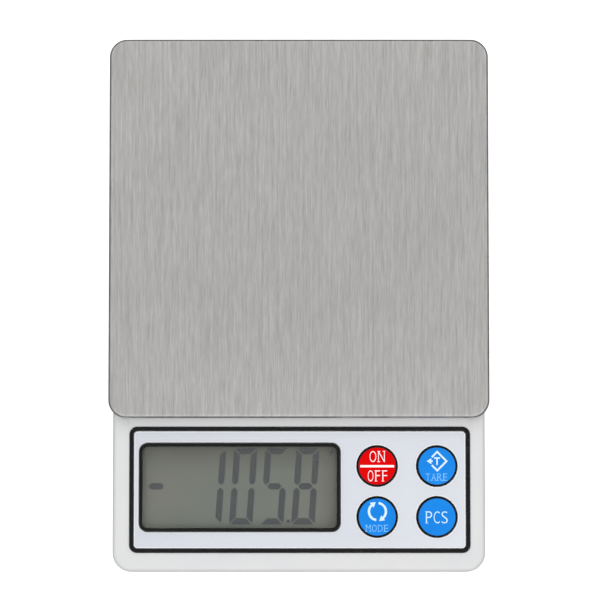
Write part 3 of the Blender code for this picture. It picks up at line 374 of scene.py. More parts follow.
def bump(tree, height, depth):
    """A surface that rises by this depth, in metres, where the height is 1."""
    return add_node(tree, "Bump", {"Height": height, "Distance": depth, "Strength": 1.0}).outputs[0]


def cover_with(tree, out, inputs):
    """Adds the surface's shader, with these inputs, and links it to the material's output."""
    shader = add_node(tree, "BsdfPrincipled", inputs)
    tree.links.new(shader.outputs[0], out.inputs["Surface"])


print("helpers for materials are ready")

# %% Recipe for a moulded finish
DUST = (205, 203, 198)
SCRATCH_ROUGHNESS = 0.12  # how much a scratch adds


def moulded(name, tone, second_tone, worn_tone, smooth, rough, depth, edge=0.4, dust=0.5, **fixed):
    """A moulded material. Smooth and rough are the roughness where it is clean and smudged."""
    material, tree, out = new_material(name)
    grain = effect(tree, grain_group)
    edges = effect(tree, edge_wear_and_highlight_group, Amount=edge)
    use = effect(tree, use_group)
    colour = blend_colours(tree, grain["Cloud"], tone, second_tone)
    colour = blend_colours(tree, edges["Edge"], colour, worn_tone)
    dusty = math_node(tree, "MULTIPLY", use["Dust"], dust)
    colour = blend_colours(tree, dusty, colour, DUST)
    gloss = spread(tree, use["Smudge"], 0.0, 1.0, smooth, rough)
    scratched = math_node(tree, "MULTIPLY", use["Scratch"], SCRATCH_ROUGHNESS)
    relief = math_node(tree, "SUBTRACT", grain["Grain"], use["Scratch"])
    cover_with(tree, out, {
        "Base Color": colour, "Roughness": math_node(tree, "ADD", gloss, scratched),
        "Normal": bump(tree, relief, depth), **fixed,
    })
    return material


print("dust is", DUST)

# %% Plastics, rubber and resin
white_plastic = moulded(
    "white_case_plastic", (214, 215, 215), (218, 218, 218), (228, 228, 227),
    0.36, 0.46, 0.000012,
)
grey_plastic = moulded(
    "grey_inner_plastic", (120, 122, 124), (132, 134, 136), (160, 161, 162),
    0.45, 0.55, 0.00002,
)
red_plastic = moulded(
    "red_key_plastic", (216, 2, 4), (226, 5, 6), (236, 50, 44),
    0.22, 0.34, 0.000006, 0.3, 0.08, **{"Specular IOR Level": 0.03},
)
blue_plastic = moulded(
    "blue_key_plastic", (22, 130, 224), (30, 139, 232), (90, 168, 240),
    0.22, 0.34, 0.000006, 0.3, 0.1, **{"Specular IOR Level": 0.06},
)
# painted black and shade: the caps' dark sides stand for the black floor and shaded gap round each
# key
key_rim_black_and_shade = moulded(
    "key_rim_black_and_gap_shade", (8, 12, 24), (14, 18, 30), (40, 44, 56),
    0.25, 0.35, 0.000006, 0.2, 0.1, **{"Specular IOR Level": 0.15},
)
black_gloss = moulded(
    "black_trim_gloss", (13, 14, 16), (19, 20, 22), (46, 47, 48),
    0.10, 0.20, 0.000004, 0.35, 0.2, **{"Specular IOR Level": 0.13},
)
rubber = moulded(
    "foot_rubber", (44, 44, 46), (56, 56, 58), (92, 91, 90), 0.7, 0.85, 0.00004,
)
silicone = moulded(
    "gauge_silicone", (206, 204, 196), (222, 220, 212), (232, 231, 226),
    0.35, 0.5, 0.00003,
)
epoxy = moulded(
    "chip_epoxy", (18, 18, 20), (28, 28, 31), (52, 52, 56), 0.18, 0.3, 0.00002,
)
print("moulded finishes:", len(bpy.data.materials) - 1)

# %% [markdown]
# ## Metals
# A bare metal has almost no colour of its own, so its two tones are what the studio's
# light becomes in it. Lines of the last tool that touched it show in colour, roughness
# and bump at once.

# %% Recipe for a metal finish
EDGE_WEAR_AND_HIGHLIGHT = 1.25  # how much brighter a rounded edge is: rubbed wear and a painted highlight


def metal(name, tone, second_tone, smooth, rough, depth, across, along, longer=0.35):
    """A metal with lines along Y. Smooth and rough are the two ends of its roughness."""
    material, tree, out = new_material(name)
    lines = effect(tree, brushed_group, Across=across, Along=along, Longer=longer)
    use = effect(tree, use_group)
    edges = effect(tree, edge_wear_and_highlight_group, Amount=0.5)
    both = math_node(tree, "ADD", lines["Lines"], lines["Streaks"])
    pattern = math_node(tree, "MULTIPLY", both, 0.5)
    colour = blend_colours(tree, pattern, tone, second_tone)
    bright = [min(1.0, EDGE_WEAR_AND_HIGHLIGHT * level) for level in paint(*second_tone)]
    # rounded edges paler: rubbed wear, and a painted highlight along the plate's bend
    colour = blend_colours(tree, edges["Edge"], colour, bright)
    gloss = spread(tree, lines["Streaks"], 0.0, 1.0, rough, smooth)
    gloss = math_node(tree, "ADD", gloss, math_node(tree, "MULTIPLY", use["Smudge"], 0.05))
    relief = math_node(tree, "SUBTRACT", pattern, use["Scratch"])
    cover_with(tree, out, {
        "Base Color": colour, "Roughness": gloss, "Normal": bump(tree, relief, depth),
        "Metallic": 1.0,
    })
    return material


print("a rubbed edge is", EDGE_WEAR_AND_HIGHLIGHT, "times as bright")

# %% Metals
steel = metal(
    "brushed_steel", (149, 147, 144), (187, 186, 184), 0.26, 0.38, 0.000006, 2900.0, 170.0, 0.5
)
zinc = metal("zinc_plating", (176, 180, 184), (206, 208, 208), 0.22, 0.4, 0.000006, 900.0, 700.0)
switch_metal = metal(
    "switch_cover", (190, 190, 188), (214, 214, 212), 0.25, 0.4, 0.000004, 900.0, 200.0
)
aluminium = metal(
    "milled_aluminium", (186, 187, 188), (216, 217, 218), 0.3, 0.46, 0.00001, 500.0, 1600.0, 1.0
)
print("metals:", steel.name, zinc.name, switch_metal.name, aluminium.name)

# %% [markdown]
# ## The console's film, glass and display
# The console is a printed film in pale silver: fine metal flakes under a satin lacquer,
# painted light that makes it paler towards its right, and a painted white highlight where
# its cut edge turns down. The display shows as dull green-grey glass, because what is seen
# is the reflector behind a polariser.

# %% Silver film
def spot_noise(tree, scale, low, high):
    """Small patches, from 0 to 1."""
    place = add_node(tree, "TexCoord").outputs["Object"]
    return spread(tree, noise(tree, place, scale, 2.0), low, high)


def run_across(tree, axis, start, end, share=1.0):
    """A share that grows from 0 at one place along an axis to its full size at another."""
    place = add_node(tree, "TexCoord").outputs["Object"]
    along = add_node(tree, "SeparateXYZ", {0: place}).outputs[axis]
    return spread(tree, along, start, end, 0.0, share)


silver_film, tree, out = new_material("silver_console_film")
use = effect(tree, use_group, Smudges=24.0)
flakes = spot_noise(tree, 2600.0, 0.35, 0.65)
clouds = spot_noise(tree, 22.0, 0.35, 0.65)
# painted light: the film grows paler towards the right, where more light falls
sweep = run_across(tree, "X", -60 * MM, 60 * MM)
tone = blend_colours(tree, sweep, (201, 205, 213), (217, 220, 226))
tone = blend_colours(tree, math_node(tree, "MULTIPLY", flakes, 0.25), tone, (226, 229, 235))
tone = blend_colours(tree, math_node(tree, "MULTIPLY", clouds, 0.3), tone, (203, 206, 215))
gloss = spread(tree, use["Smudge"], 0.0, 1.0, 0.3, 0.4)
cover_with(tree, out, {
    "Base Color": tone, "Roughness": gloss, "Normal": bump(tree, flakes, 0.000003),
    "Coat Weight": spread(tree, use["Smudge"], 0.0, 1.0, 0.3, 0.15),
})
print("film", silver_film.name)

# %% Window
clear_lens, tree, out = new_material("clear_window")
use = effect(tree, use_group, Scratches=90.0)
gloss = math_node(tree, "MULTIPLY", math_node(tree, "ADD", use["Smudge"], use["Scratch"]), 0.04)
cover_with(tree, out, {
    "Base Color": (1, 1, 1, 1), "Roughness": gloss, "Transmission Weight": 1.0, "IOR": 1.2,
    "Normal": bump(tree, use["Scratch"], 0.000003),
})
print("window", clear_lens.name)

# %% [markdown]
# The display is darker along its rear and right edges, where the case shades it. Two
# slow changes of tone, laid out from the glass's own corner, do that.

# %% Display grey
display_grey, tree, out = new_material("display_grey_glass")
cells = spot_noise(tree, 3200.0, 0.4, 0.6)
patches = spot_noise(tree, 26.0, 0.4, 0.62)
use = effect(tree, use_group)
tone = blend_colours(tree, patches, (112, 119, 110), (118, 119, 109))
tone = blend_colours(tree, math_node(tree, "MULTIPLY", cells, 0.3), tone, (136, 140, 130))
glass_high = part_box("lcd_glass")[1]
rear_shade = run_across(tree, "Y", glass_high.y - 11 * MM, glass_high.y, 0.75)
right_shade = run_across(tree, "X", glass_high.x - 9 * MM, glass_high.x, 0.5)
tone = blend_colours(tree, rear_shade, tone, (84, 80, 70))
tone = blend_colours(tree, right_shade, tone, (92, 92, 84))
cover_with(tree, out, {
    "Base Color": tone, "Roughness": spread(tree, use["Smudge"], 0.0, 1.0, 0.3, 0.36),
    "Normal": bump(tree, cells, 0.000004), "Specular IOR Level": 0.3,
})
print("display", display_grey.name)

# %% [markdown]
# Inks are thin coats with a little unevenness: dark crystal for the digits, its faint
# shadow on the reflector, and white and pale blue print on the keys. The same recipe
# gives the painted white highlight on the film's turned edge.

# %% Recipe for an ink
def ink(name, tone, second_tone, roughness, scale=900.0):
    """A printed or dyed surface, and also a painted highlight and a painted shadow: two tones in
    small patches, with a slight bump.
    """
    material, tree, out = new_material(name)
    patches = spot_noise(tree, scale, 0.38, 0.62)
    gloss = spread(tree, patches, 0.0, 1.0, roughness, roughness + 0.1)
    cover_with(tree, out, {
        "Base Color": blend_colours(tree, patches, tone, second_tone), "Roughness": gloss,
        "Normal": bump(tree, patches, 0.000005),
    })
    return material


print("the recipe for inks is ready")

# %% Inks and jackets
digit_ink = ink("digit_crystal", (62, 65, 67), (70, 73, 74), 0.4)
digit_shadow = ink("digit_shadow", (101, 106, 99), (106, 110, 103), 0.5)
# painted highlight: the white line of light along the film's turned edge
film_edge_highlight_paint = ink("film_edge_painted_highlight", (250, 251, 253), (255, 255, 255), 0.4)
white_ink = ink("white_key_ink", (252, 244, 246), (255, 250, 250), 0.35)
pale_ink = ink("pale_blue_key_ink", (206, 234, 255), (222, 242, 255), 0.35)
thin_ink = ink("thin_blue_key_ink", (120, 190, 248), (140, 204, 252), 0.35)
board_green = ink("board_green", (22, 86, 52), (36, 110, 66), 0.35, 500.0)
battery_jacket = ink("battery_jacket", (40, 60, 110), (50, 72, 128), 0.25, 300.0)
white_jacket = ink("white_wire_jacket", (214, 213, 208), (228, 227, 222), 0.45)
red_jacket = ink("red_wire_jacket", (176, 26, 24), (196, 36, 32), 0.4)
black_jacket = ink("black_wire_jacket", (24, 24, 26), (34, 34, 36), 0.4)
print("materials so far:", len(bpy.data.materials))

# %% [markdown]
# ## Working by hand, in code
# Blender's operators act on whatever is selected, so each helper first leaves exactly one
# thing selected. Edges and faces are then picked by where they lie, as a person would
# click on them.

# %% Selecting and settling
def let_go():
    """Leaves no object selected."""
    bpy.ops.object.select_all(action="DESELECT")


def take(piece):
    """Selects this object alone and makes it the active one."""
    let_go()
    piece.select_set(True)
    bpy.context.view_layer.objects.active = piece


def settle(piece):
    """Puts the piece's place, turn and scale into its mesh, so its object is at the origin."""
    take(piece)
    bpy.ops.object.transform_apply(location=True, rotation=True, scale=True)
    return piece


def open_up(piece):
    """Goes into edit mode."""
    take(piece)
    bpy.ops.object.mode_set(mode="EDIT")


def close_up():
    """Goes back to object mode."""
    bpy.ops.object.mode_set(mode="OBJECT")


def grab_all():
    """In edit mode, selects the whole mesh."""
    bpy.ops.mesh.select_all(action="SELECT")


print("one thing is selected at a time")

# %% Picking by place
def pick(piece, kind, test):
    """In edit mode, selects the edges or faces that pass the test."""
    bpy.ops.mesh.select_mode(type=kind)
    bpy.ops.mesh.select_all(action="DESELECT")
    work = bmesh.from_edit_mesh(piece.data)
    for part in work.edges if kind == "EDGE" else work.faces:
        if test(part):
            part.select_set(True)
    bmesh.update_edit_mesh(piece.data)


NEAR = 0.02 * MM  # how close counts as being at a place


def at_height(*heights):
    """A test for edges and faces that lie flat at one of these heights."""
    return lambda part: any(
        all(abs(vert.co.z - z) < NEAR for vert in part.verts) for z in heights
    )


def upright(edge):
    """A test for edges that run straight up."""
    span = edge.verts[0].co - edge.verts[1].co
    return abs(span.z) > 0.99 * span.length


print("places match within", round(NEAR / MM, 2), "mm")

# %% [markdown]
# Most pieces are slabs with round corners, or discs, whose rims are rounded next. The
# helpers below do these few steps, and cut, weld and hollow what they made.

# %% Blocks and discs
CORNER_STEPS = 14


def add_block(name, low, high):
    """A block between two corners."""
    low, high = Vector(low), Vector(high)
    let_go()
    bpy.ops.mesh.primitive_cube_add(size=1, location=(low + high) / 2)
    block = bpy.context.object
    block.name = name
    block.scale = high - low
    return settle(block)


def add_slab(name, low, high, corner):
    """A block whose four upright edges are rounded."""
    slab = add_block(name, low, high)
    open_up(slab)
    pick(slab, "EDGE", upright)
    bpy.ops.mesh.bevel(offset=corner, segments=CORNER_STEPS, affect="EDGES")
    close_up()
    return slab


def add_disc(name, centre, radius, low, high, steps=72):
    """An upright cylinder between two heights."""
    let_go()
    bpy.ops.mesh.primitive_cylinder_add(
        vertices=steps, radius=radius, depth=high - low,
        location=(centre[0], centre[1], (low + high) / 2),
    )
    disc = bpy.context.object
    disc.name = name
    return settle(disc)


print("a round corner has", CORNER_STEPS, "steps")

# %% Rims, cuts and walls
SHARP = math.radians(30)  # an edge that turns by more than this is a corner


def round_rim(piece, radius, steps, *heights):
    """Rounds the edges round the flat faces at these heights."""
    open_up(piece)
    level = at_height(*heights)
    pick(piece, "EDGE", lambda edge: level(edge) and edge.calc_face_angle(0) > SHARP)
    bpy.ops.mesh.bevel(offset=radius, segments=steps, affect="EDGES")
    close_up()


def use_modifier(piece, kind, **values):
    """Adds a modifier, sets it and applies it at once."""
    take(piece)
    modifier = piece.modifiers.new(kind.lower(), kind)
    for key, value in values.items():
        setattr(modifier, key, value)
    bpy.ops.object.modifier_apply(modifier=modifier.name)


def join_up(piece, operation, *tools):
    """Cuts each tool's shape out of the piece, or welds it on, and throws the tool away."""
    for tool in tools:
        use_modifier(piece, "BOOLEAN", operation=operation, solver="EXACT", object=tool)
        bpy.data.objects.remove(tool, do_unlink=True)


def hollow(piece, z, wall):
    """Opens the face at height z and gives what is left a wall, inwards."""
    open_up(piece)
    pick(piece, "FACE", at_height(z))
    bpy.ops.mesh.delete(type="FACE")
    close_up()
    use_modifier(piece, "SOLIDIFY", thickness=wall, offset=-1.0, use_even_offset=True)


print("corners turn by more than", round(math.degrees(SHARP)), "degrees")

# %% [markdown]
# A finished piece is shaded smooth wherever it bends gently, takes its material, and is
# told which body it moves with, and the frame's nodes that it stands for are hidden.

# %% Handing a piece over
SMOOTH_ANGLE = math.radians(35)


def hand_over(piece, material, body, slot, *nodes):
    """Shades a piece, gives it its material and body, and hides the nodes it replaces; slot is not
    used.
    """
    settle(piece)
    bpy.ops.object.shade_smooth_by_angle(angle=SMOOTH_ANGLE)
    piece.data.materials.clear()
    piece.data.materials.append(material)
    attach(piece, body)
    if nodes:
        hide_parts(*nodes)
    print(piece.name, "has", len(piece.data.polygons), "faces and rides on", body)


print("edges under", round(math.degrees(SMOOTH_ANGLE)), "degrees are shaded smooth")

# %% [markdown]
# ## The weighing plate
# The plate is one sheet of steel, pressed into a shallow tray and turned upside down. A
# slab with round corners gets a generous rim, loses its underside, and is given the
# sheet's thickness inwards, so the bend is round outside and tighter inside, as pressed
# steel is.

# %% Weighing plate
PLATE_CORNER = 6.0 * MM
PLATE_BEND = 1.3 * MM
PLATE_SHEET = 0.8 * MM
PLATE_BURR = 0.15 * MM  # the rounding of the cut edge below
plate_low, plate_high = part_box("steel_platter")
plate = add_slab("weighing_plate", plate_low, plate_high, PLATE_CORNER)
round_rim(plate, PLATE_BEND, 8, plate_high.z)
hollow(plate, plate_low.z, PLATE_SHEET)
round_rim(plate, PLATE_BURR, 2, plate_low.z)
hand_over(plate, steel, "pan", "steel", "steel_platter")

# %% [markdown]
# ## The case
# The case is moulded in two halves that meet in a line round the sides. Each wall leans
# in a little from that line, so that the moulding leaves its tool. Each half starts as a
# slab of the deck's or the floor's size, and the end at the line is then made wider.

# %% Sizes of the case
CASE_CORNER = 6.8 * MM
CASE_WALL = 2.0 * MM
DRAFT = 0.4 * MM  # how far a wall leans in
SEAM = 0.3 * MM  # the shadow line between the halves
FIT = 0.15 * MM  # the gap between two parts that go together
cover_low, cover_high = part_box("top_cover")
base_low, base_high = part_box("base_tray")
panel_low, panel_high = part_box("panel_bezel")
window_low, window_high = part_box("window_frame")
deck = cover_high.z
through = deck - 4 * MM  # how far down the cutters reach
parting = cover_low.z - SEAM
print("deck at", round(deck / MM, 1), "mm, parting line at", round(parting / MM, 1), "mm")

# %% Leaning walls
def middle(node):
    """The middle of a node's box."""
    low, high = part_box(node)
    return (low + high) / 2


def widen(piece, z, by):
    """Makes the outline at height z wider all round, which leans the walls."""
    size = piece.dimensions
    open_up(piece)
    pick(piece, "FACE", at_height(z))
    bpy.ops.transform.resize(value=(1 + 2 * by / size.x, 1 + 2 * by / size.y, 1))
    close_up()


def slab_round(name, low, high, grow, bottom, top, corner):
    """A slab whose outline stands this far outside a box's, between two heights."""
    return add_slab(
        name, (low.x - grow, low.y - grow, bottom), (high.x + grow, high.y + grow, top), corner
    )


KEY_NAMES = ("on_off", "tare", "mode", "pcs")
KEY_GAP = 0.45 * MM
KEY_RADIUS = 6.5 * MM


def key_holes(bottom, top):
    """Cutters for the four key holes."""
    return [
        add_disc(f"hole_{name}", middle(f"{name}_key"), KEY_RADIUS + KEY_GAP, bottom, top)
        for name in KEY_NAMES
    ]


print("key holes:", round(2 * (KEY_RADIUS + KEY_GAP) / MM, 1), "mm across")

# %% Upper half
DECK_EDGE = 1.6 * MM
LIP_INSET = 1.0 * MM
LIP_HEIGHT = 1.0 * MM
cover = slab_round(
    "case_cover", cover_low, cover_high, -DRAFT, cover_low.z, deck, CASE_CORNER - DRAFT
)
widen(cover, cover_low.z, DRAFT)
round_rim(cover, DECK_EDGE, 8, deck)
room = slab_round(
    "room", cover_low, cover_high, -CASE_WALL, cover_low.z - MM, deck - CASE_WALL,
    CASE_CORNER - CASE_WALL,
)
rebate = slab_round(
    "rebate", cover_low, cover_high, FIT - LIP_INSET, cover_low.z - MM,
    parting + LIP_HEIGHT + FIT, CASE_CORNER - LIP_INSET,
)
join_up(cover, "DIFFERENCE", room)
print("upper half is", round((deck - cover_low.z) / MM, 1), "mm high")

# %% [markdown]
# The deck is opened for the console, the window, the keys and the hub that joins the
# plate to the load cell. The console's recess stops short of the wall's thickness.

# %% Openings in the deck
RECESS = 1.0 * MM
PANEL_CORNER = 2.5 * MM
WINDOW_CORNER = 2.8 * MM
RIM_WIDTH = 1.1 * MM
HUB_HALF = (7.8 * MM, 7.7 * MM)  # half the opening that the plate's hub passes through
HUB_BEFORE_MIDDLE = 16.5 * MM
BURR = 0.12 * MM  # the rounding of a cut edge
recess = slab_round(
    "recess", panel_low, panel_high, FIT, deck - RECESS, deck + MM, PANEL_CORNER + FIT
)
hole = slab_round(
    "hole", window_low, window_high, -RIM_WIDTH, through, deck + MM, WINDOW_CORNER - RIM_WIDTH
)
hub_y = middle("platter_carrier").y - HUB_BEFORE_MIDDLE
hub = add_block(
    "hub", (-HUB_HALF[0], hub_y - HUB_HALF[1], through),
    (HUB_HALF[0], hub_y + HUB_HALF[1], deck + MM),
)
join_up(cover, "DIFFERENCE", rebate, recess, hole, hub, *key_holes(through, deck + MM))
round_rim(cover, BURR, 2, deck)
print("deck has", len(KEY_NAMES) + 3, "openings")

# %% [markdown]
# Each case screw bites into a post that hangs from the deck, with a bore up its middle.

# %% Screw posts of the upper half
SCREW_NAMES = [f"case_screw_{number}" for number in (1, 2, 3, 4)]
BOSS_RADIUS = 2.8 * MM
BORE_RADIUS = 1.7 * MM
BORE_DEPTH = 6.0 * MM
post_top = deck - (CASE_WALL + RECESS) / 2
for name in SCREW_NAMES:
    post = add_disc("post", middle(name), BOSS_RADIUS, cover_low.z, post_top, 40)
    bore = add_disc(
        "bore", middle(name), BORE_RADIUS, cover_low.z - MM, cover_low.z + BORE_DEPTH, 32
    )
    join_up(cover, "UNION", post)
    join_up(cover, "DIFFERENCE", bore)
hand_over(cover, white_plastic, "case", "white_plastic", "top_cover")

# %% [markdown]
# The lower half is a tray with a lip that plugs into the cover. Inside it stand the
# posts for the case screws, the pad under the load cell's fixed end, and the battery
# bay, which opens through the floor and runs out at the back for the sliding door.

# %% Lower half
FLOOR = 2.0 * MM
BASE_EDGE = 1.5 * MM
BAY_WALL = 1.3 * MM
PLAY = 0.3 * MM  # the gap round a part that moves or is changed
door_low, door_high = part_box("battery_door")
cell_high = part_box("battery_cell_1")[1]
bay_half = door_high.x - 1.2 * MM
bay_front = door_low.y - 0.6 * MM
bay_back = base_high.y - CASE_WALL - PLAY - BAY_WALL
bay_top = cell_high.z + PLAY
floor_top = base_low.z + FLOOR
tray = slab_round(
    "case_base", base_low, base_high, -DRAFT, base_low.z, parting, CASE_CORNER - DRAFT
)
widen(tray, parting, DRAFT)
round_rim(tray, BASE_EDGE, 8, base_low.z)
lip = slab_round(
    "lip", base_low, base_high, -LIP_INSET, parting - MM, base_high.z, CASE_CORNER - LIP_INSET
)
room = slab_round(
    "room", base_low, base_high, -CASE_WALL, floor_top, base_high.z + MM, CASE_CORNER - CASE_WALL
)
join_up(tray, "UNION", lip)
join_up(tray, "DIFFERENCE", room)
print("lower half is", round((parting - base_low.z) / MM, 1), "mm high to the line")

# %% [markdown]
# The bay, the pad and the posts stand on the tray's floor, and reach a little into it so
# that the weld is sure.

# %% Inside the lower half
bay = add_block(
    "bay", (-bay_half - BAY_WALL, bay_front - BAY_WALL, floor_top - MM),
    (bay_half + BAY_WALL, bay_back + BAY_WALL, bay_top + BAY_WALL),
)
PAD_HALF = (8.0 * MM, 7.0 * MM)
PAD_HEIGHT = 2.0 * MM
POST_RADIUS = 3.4 * MM
CELL_SCREWS = ("load_cell_screw_1", "load_cell_screw_2")
fixed_y = sum(middle(name).y for name in CELL_SCREWS) / 2
pad = add_block(
    "pad", (-PAD_HALF[0], fixed_y - PAD_HALF[1], floor_top - MM),
    (PAD_HALF[0], fixed_y + PAD_HALF[1], floor_top + PAD_HEIGHT),
)
posts = [
    add_disc("post", middle(name), POST_RADIUS, floor_top - MM, parting - 0.05 * MM, 48)
    for name in SCREW_NAMES
]
join_up(tray, "UNION", bay, pad, *posts)
print("bay is", round(2 * bay_half / MM, 1), "by", round((bay_back - bay_front) / MM, 1), "mm")

# %% [markdown]
# The battery bay is emptied from below, and a slot behind it lets the door slide out. Two
# grooves along the slot's sides hold the door's tongues.

# %% Battery bay and grooves
GROOVE_REACH = 0.2 * MM  # past the tongues
TONGUE_HEIGHT = 0.6 * MM
below = base_low.z - MM
bay_room = add_block("bay_room", (-bay_half, bay_front, below), (bay_half, bay_back, bay_top))
slot_room = add_block(
    "slot_room", (-bay_half, bay_back - MM, below),
    (bay_half, base_high.y + MM, door_high.z + 0.2 * MM),
)
groove_end = door_high.x + GROOVE_REACH
tongue_z = (base_low.z + door_high.z + PLAY - TONGUE_HEIGHT) / 2
grooves = add_block(
    "grooves", (-groove_end, bay_front + PLAY, tongue_z - GROOVE_REACH),
    (groove_end, base_high.y + MM, tongue_z + TONGUE_HEIGHT + GROOVE_REACH),
)
join_up(tray, "DIFFERENCE", bay_room, slot_room, grooves)
print("tongues run at z =", round(tongue_z / MM, 2), "mm")

# %% [markdown]
# A screw's head sits in a well, and a foot in a shallow seat, both open below.

# %% Wells and seats below
HEAD_ROOM = 2.8 * MM  # the radius of a well
SEAT_DEPTH = 0.8 * MM
wells = [(name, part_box(name)[0].z + 0.3 * MM, parting + MM) for name in SCREW_NAMES]
wells += [(name, base_low.z + FLOOR, parting) for name in CELL_SCREWS]
for name, well_top, bore_top in wells:
    well = add_disc("well", middle(name), HEAD_ROOM, below, well_top, 48)
    bore = add_disc("bore", middle(name), BORE_RADIUS, below, bore_top, 32)
    join_up(tray, "DIFFERENCE", well, bore)
FOOT_NAMES = [f"foot_{number}" for number in (1, 2, 3, 4)]
FOOT_RADIUS = 5.0 * MM
seats = [
    add_disc("seat", middle(name), FOOT_RADIUS + FIT, below, base_low.z + SEAT_DEPTH)
    for name in FOOT_NAMES
]
join_up(tray, "DIFFERENCE", *seats)
round_rim(tray, 0.15 * MM, 2, base_low.z)
hand_over(tray, white_plastic, "case", "white_plastic", "base_tray")

# %% [markdown]
# The battery door slides on two thin tongues. Five ribs near its free end give a thumb
# something to push. One rib is shaped and the others are copies of it.

# %% Battery door
def copy_of(piece, name, shift):
    """A copy with its own mesh, moved by this much."""
    twin = piece.copy()
    twin.data = piece.data.copy()
    twin.name = name
    bpy.context.scene.collection.objects.link(twin)
    twin.location = shift
    return settle(twin)


RIB_HALF = (7.0 * MM, 0.4 * MM)
RIB_PITCH = 1.6 * MM
FIRST_RIB = 6.0 * MM  # from the door's free end
TONGUE = 1.4 * MM  # how far a tongue stands out
door = add_block(
    "battery_lid", (door_low.x + TONGUE, door_low.y, base_low.z),
    (door_high.x - TONGUE, door_high.y, door_high.z),
)
round_rim(door, 0.2 * MM, 3, base_low.z)
first = door_high.y - FIRST_RIB
rib = add_block(
    "rib", (-RIB_HALF[0], first - RIB_HALF[1], door_low.z),
    (RIB_HALF[0], first + RIB_HALF[1], base_low.z + 0.3 * MM),
)
round_rim(rib, 0.25 * MM, 3, door_low.z)
ribs = [rib] + [copy_of(rib, "rib", (0, -step * RIB_PITCH, 0)) for step in (1, 2, 3, 4)]
tongues = add_block(
    "tongues", (door_low.x, door_low.y + 0.3 * MM, tongue_z),
    (door_high.x, door_high.y - 3 * MM, tongue_z + TONGUE_HEIGHT),
)
join_up(door, "UNION", tongues, *ribs)
hand_over(door, white_plastic, "battery_door", "white_plastic", "battery_door")

# %% [markdown]
# ## The console
# Four pieces lie in the recess of the deck: a glossy black frame, the silver film inside
# it, the window's own frame and the clear window. A frame is a slab whose top and bottom
# are inset by the frame's width, opened, and bridged, which leaves an even ring with
# round corners inside and out.

# %% Frames
def add_frame(name, low, high, corner, width):
    """A ring of this width with round corners."""
    frame_piece = add_slab(name, low, high, corner)
    open_up(frame_piece)
    pick(frame_piece, "FACE", at_height(low.z, high.z))
    bpy.ops.mesh.inset(thickness=width, use_even_offset=True)
    bpy.ops.mesh.delete(type="FACE")
    pick(frame_piece, "EDGE", lambda edge: edge.is_boundary)
    bpy.ops.mesh.bridge_edge_loops()
    grab_all()
    bpy.ops.mesh.normals_make_consistent(inside=False)
    close_up()
    return frame_piece


BEZEL_WIDTH = 1.2 * MM
TRIM_EDGE = 0.3 * MM
bezel = add_frame("console_bezel", panel_low, panel_high, PANEL_CORNER, BEZEL_WIDTH)
round_rim(bezel, TRIM_EDGE, 4, panel_high.z)
hand_over(bezel, black_gloss, "case", "black_gloss", "panel_bezel")

LENS_CORNER = WINDOW_CORNER - 0.6 * MM
surround = add_frame("window_surround", window_low, window_high, WINDOW_CORNER, RIM_WIDTH)
lens_low, lens_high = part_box("display_window")
pocket = slab_round(
    "pocket", lens_low, lens_high, FIT, window_low.z - MM, lens_high.z + FIT,
    LENS_CORNER + FIT,
)
join_up(surround, "DIFFERENCE", pocket)
round_rim(surround, TRIM_EDGE, 4, window_high.z)
hand_over(surround, black_gloss, "case", "black_gloss", "window_frame")

# %% [markdown]
# The film is cut out round the window and the keys. Its edge turns down a little all
# round each cut. A painted white highlight stands for the light that this turned edge
# catches, so its faces, which are neither flat nor upright, get a second material.

# %% Film
film_low, film_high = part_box("front_panel")
film = add_slab("console_film", film_low, film_high, PANEL_CORNER - BEZEL_WIDTH)
opening = slab_round(
    "opening", window_low, window_high, FIT, film_low.z - MM, film_high.z + MM, WINDOW_CORNER + FIT
)
join_up(film, "DIFFERENCE", opening, *key_holes(film_low.z - MM, film_high.z + MM))
FILM_EDGE = 0.42 * MM
LEVEL = 0.99  # how far up a face points that counts as flat
round_rim(film, FILM_EDGE, 3, film_high.z)
hand_over(film, silver_film, "case", "silver_panel", "front_panel")
# the turned edge's sloped faces get the painted white highlight
film.data.materials.append(film_edge_highlight_paint)
for face in film.data.polygons:
    face.material_index = int(1 - LEVEL <= face.normal.z <= LEVEL)
print("film", round((film_high.z - film_low.z) / MM, 2), "mm thick")

# %% Window
lens = add_slab("window_lens", lens_low, lens_high, LENS_CORNER)
round_rim(lens, 0.1 * MM, 2, lens_low.z, lens_high.z)
hand_over(lens, clear_lens, "case", "clear_lens", "display_window")

# %% [markdown]
# ## The display
# The display is two sheets of glass with crystal between them. The upper sheet is a
# little smaller than the lower one, where the contacts are, so a slab gets its top inset
# and raised. The digits lie on it as thin pieces of crystal.

# %% Display glass
GLASS_CORNER = 0.6 * MM
GLASS_STEP = 0.5 * MM
lcd_low, lcd_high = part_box("lcd_glass")
half_way = (lcd_low.z + lcd_high.z) / 2
glass = add_slab("display_glass", lcd_low, (lcd_high.x, lcd_high.y, half_way), GLASS_CORNER)
open_up(glass)
pick(glass, "FACE", at_height(half_way))
bpy.ops.mesh.inset(thickness=GLASS_STEP)
rise = lcd_high.z - half_way
bpy.ops.mesh.extrude_region_move(TRANSFORM_OT_translate={"value": (0, 0, rise)})
close_up()
round_rim(glass, 0.08 * MM, 2, lcd_high.z)
hand_over(glass, display_grey, "case", "lcd", "lcd_glass")

# %% [markdown]
# A digit has seven bars with pointed ends and small gaps between them. A bar starts as a
# flat six-sided disc, whose two halves are pulled apart to the bar's length.

# %% One bar
DIGIT_HEIGHT = 25.4 * MM
DIGIT_WIDTH = 7.8 * MM
STROKE = 2.05 * MM
GAP = 0.3 * MM
WAIST_GAP = 0.45 * MM
TIP = 0.47 * STROKE  # the length of a bar's point
CRYSTAL = 0.02 * MM  # how thick a bar is
DIGIT_Z = lcd_high.z + 0.05 * MM


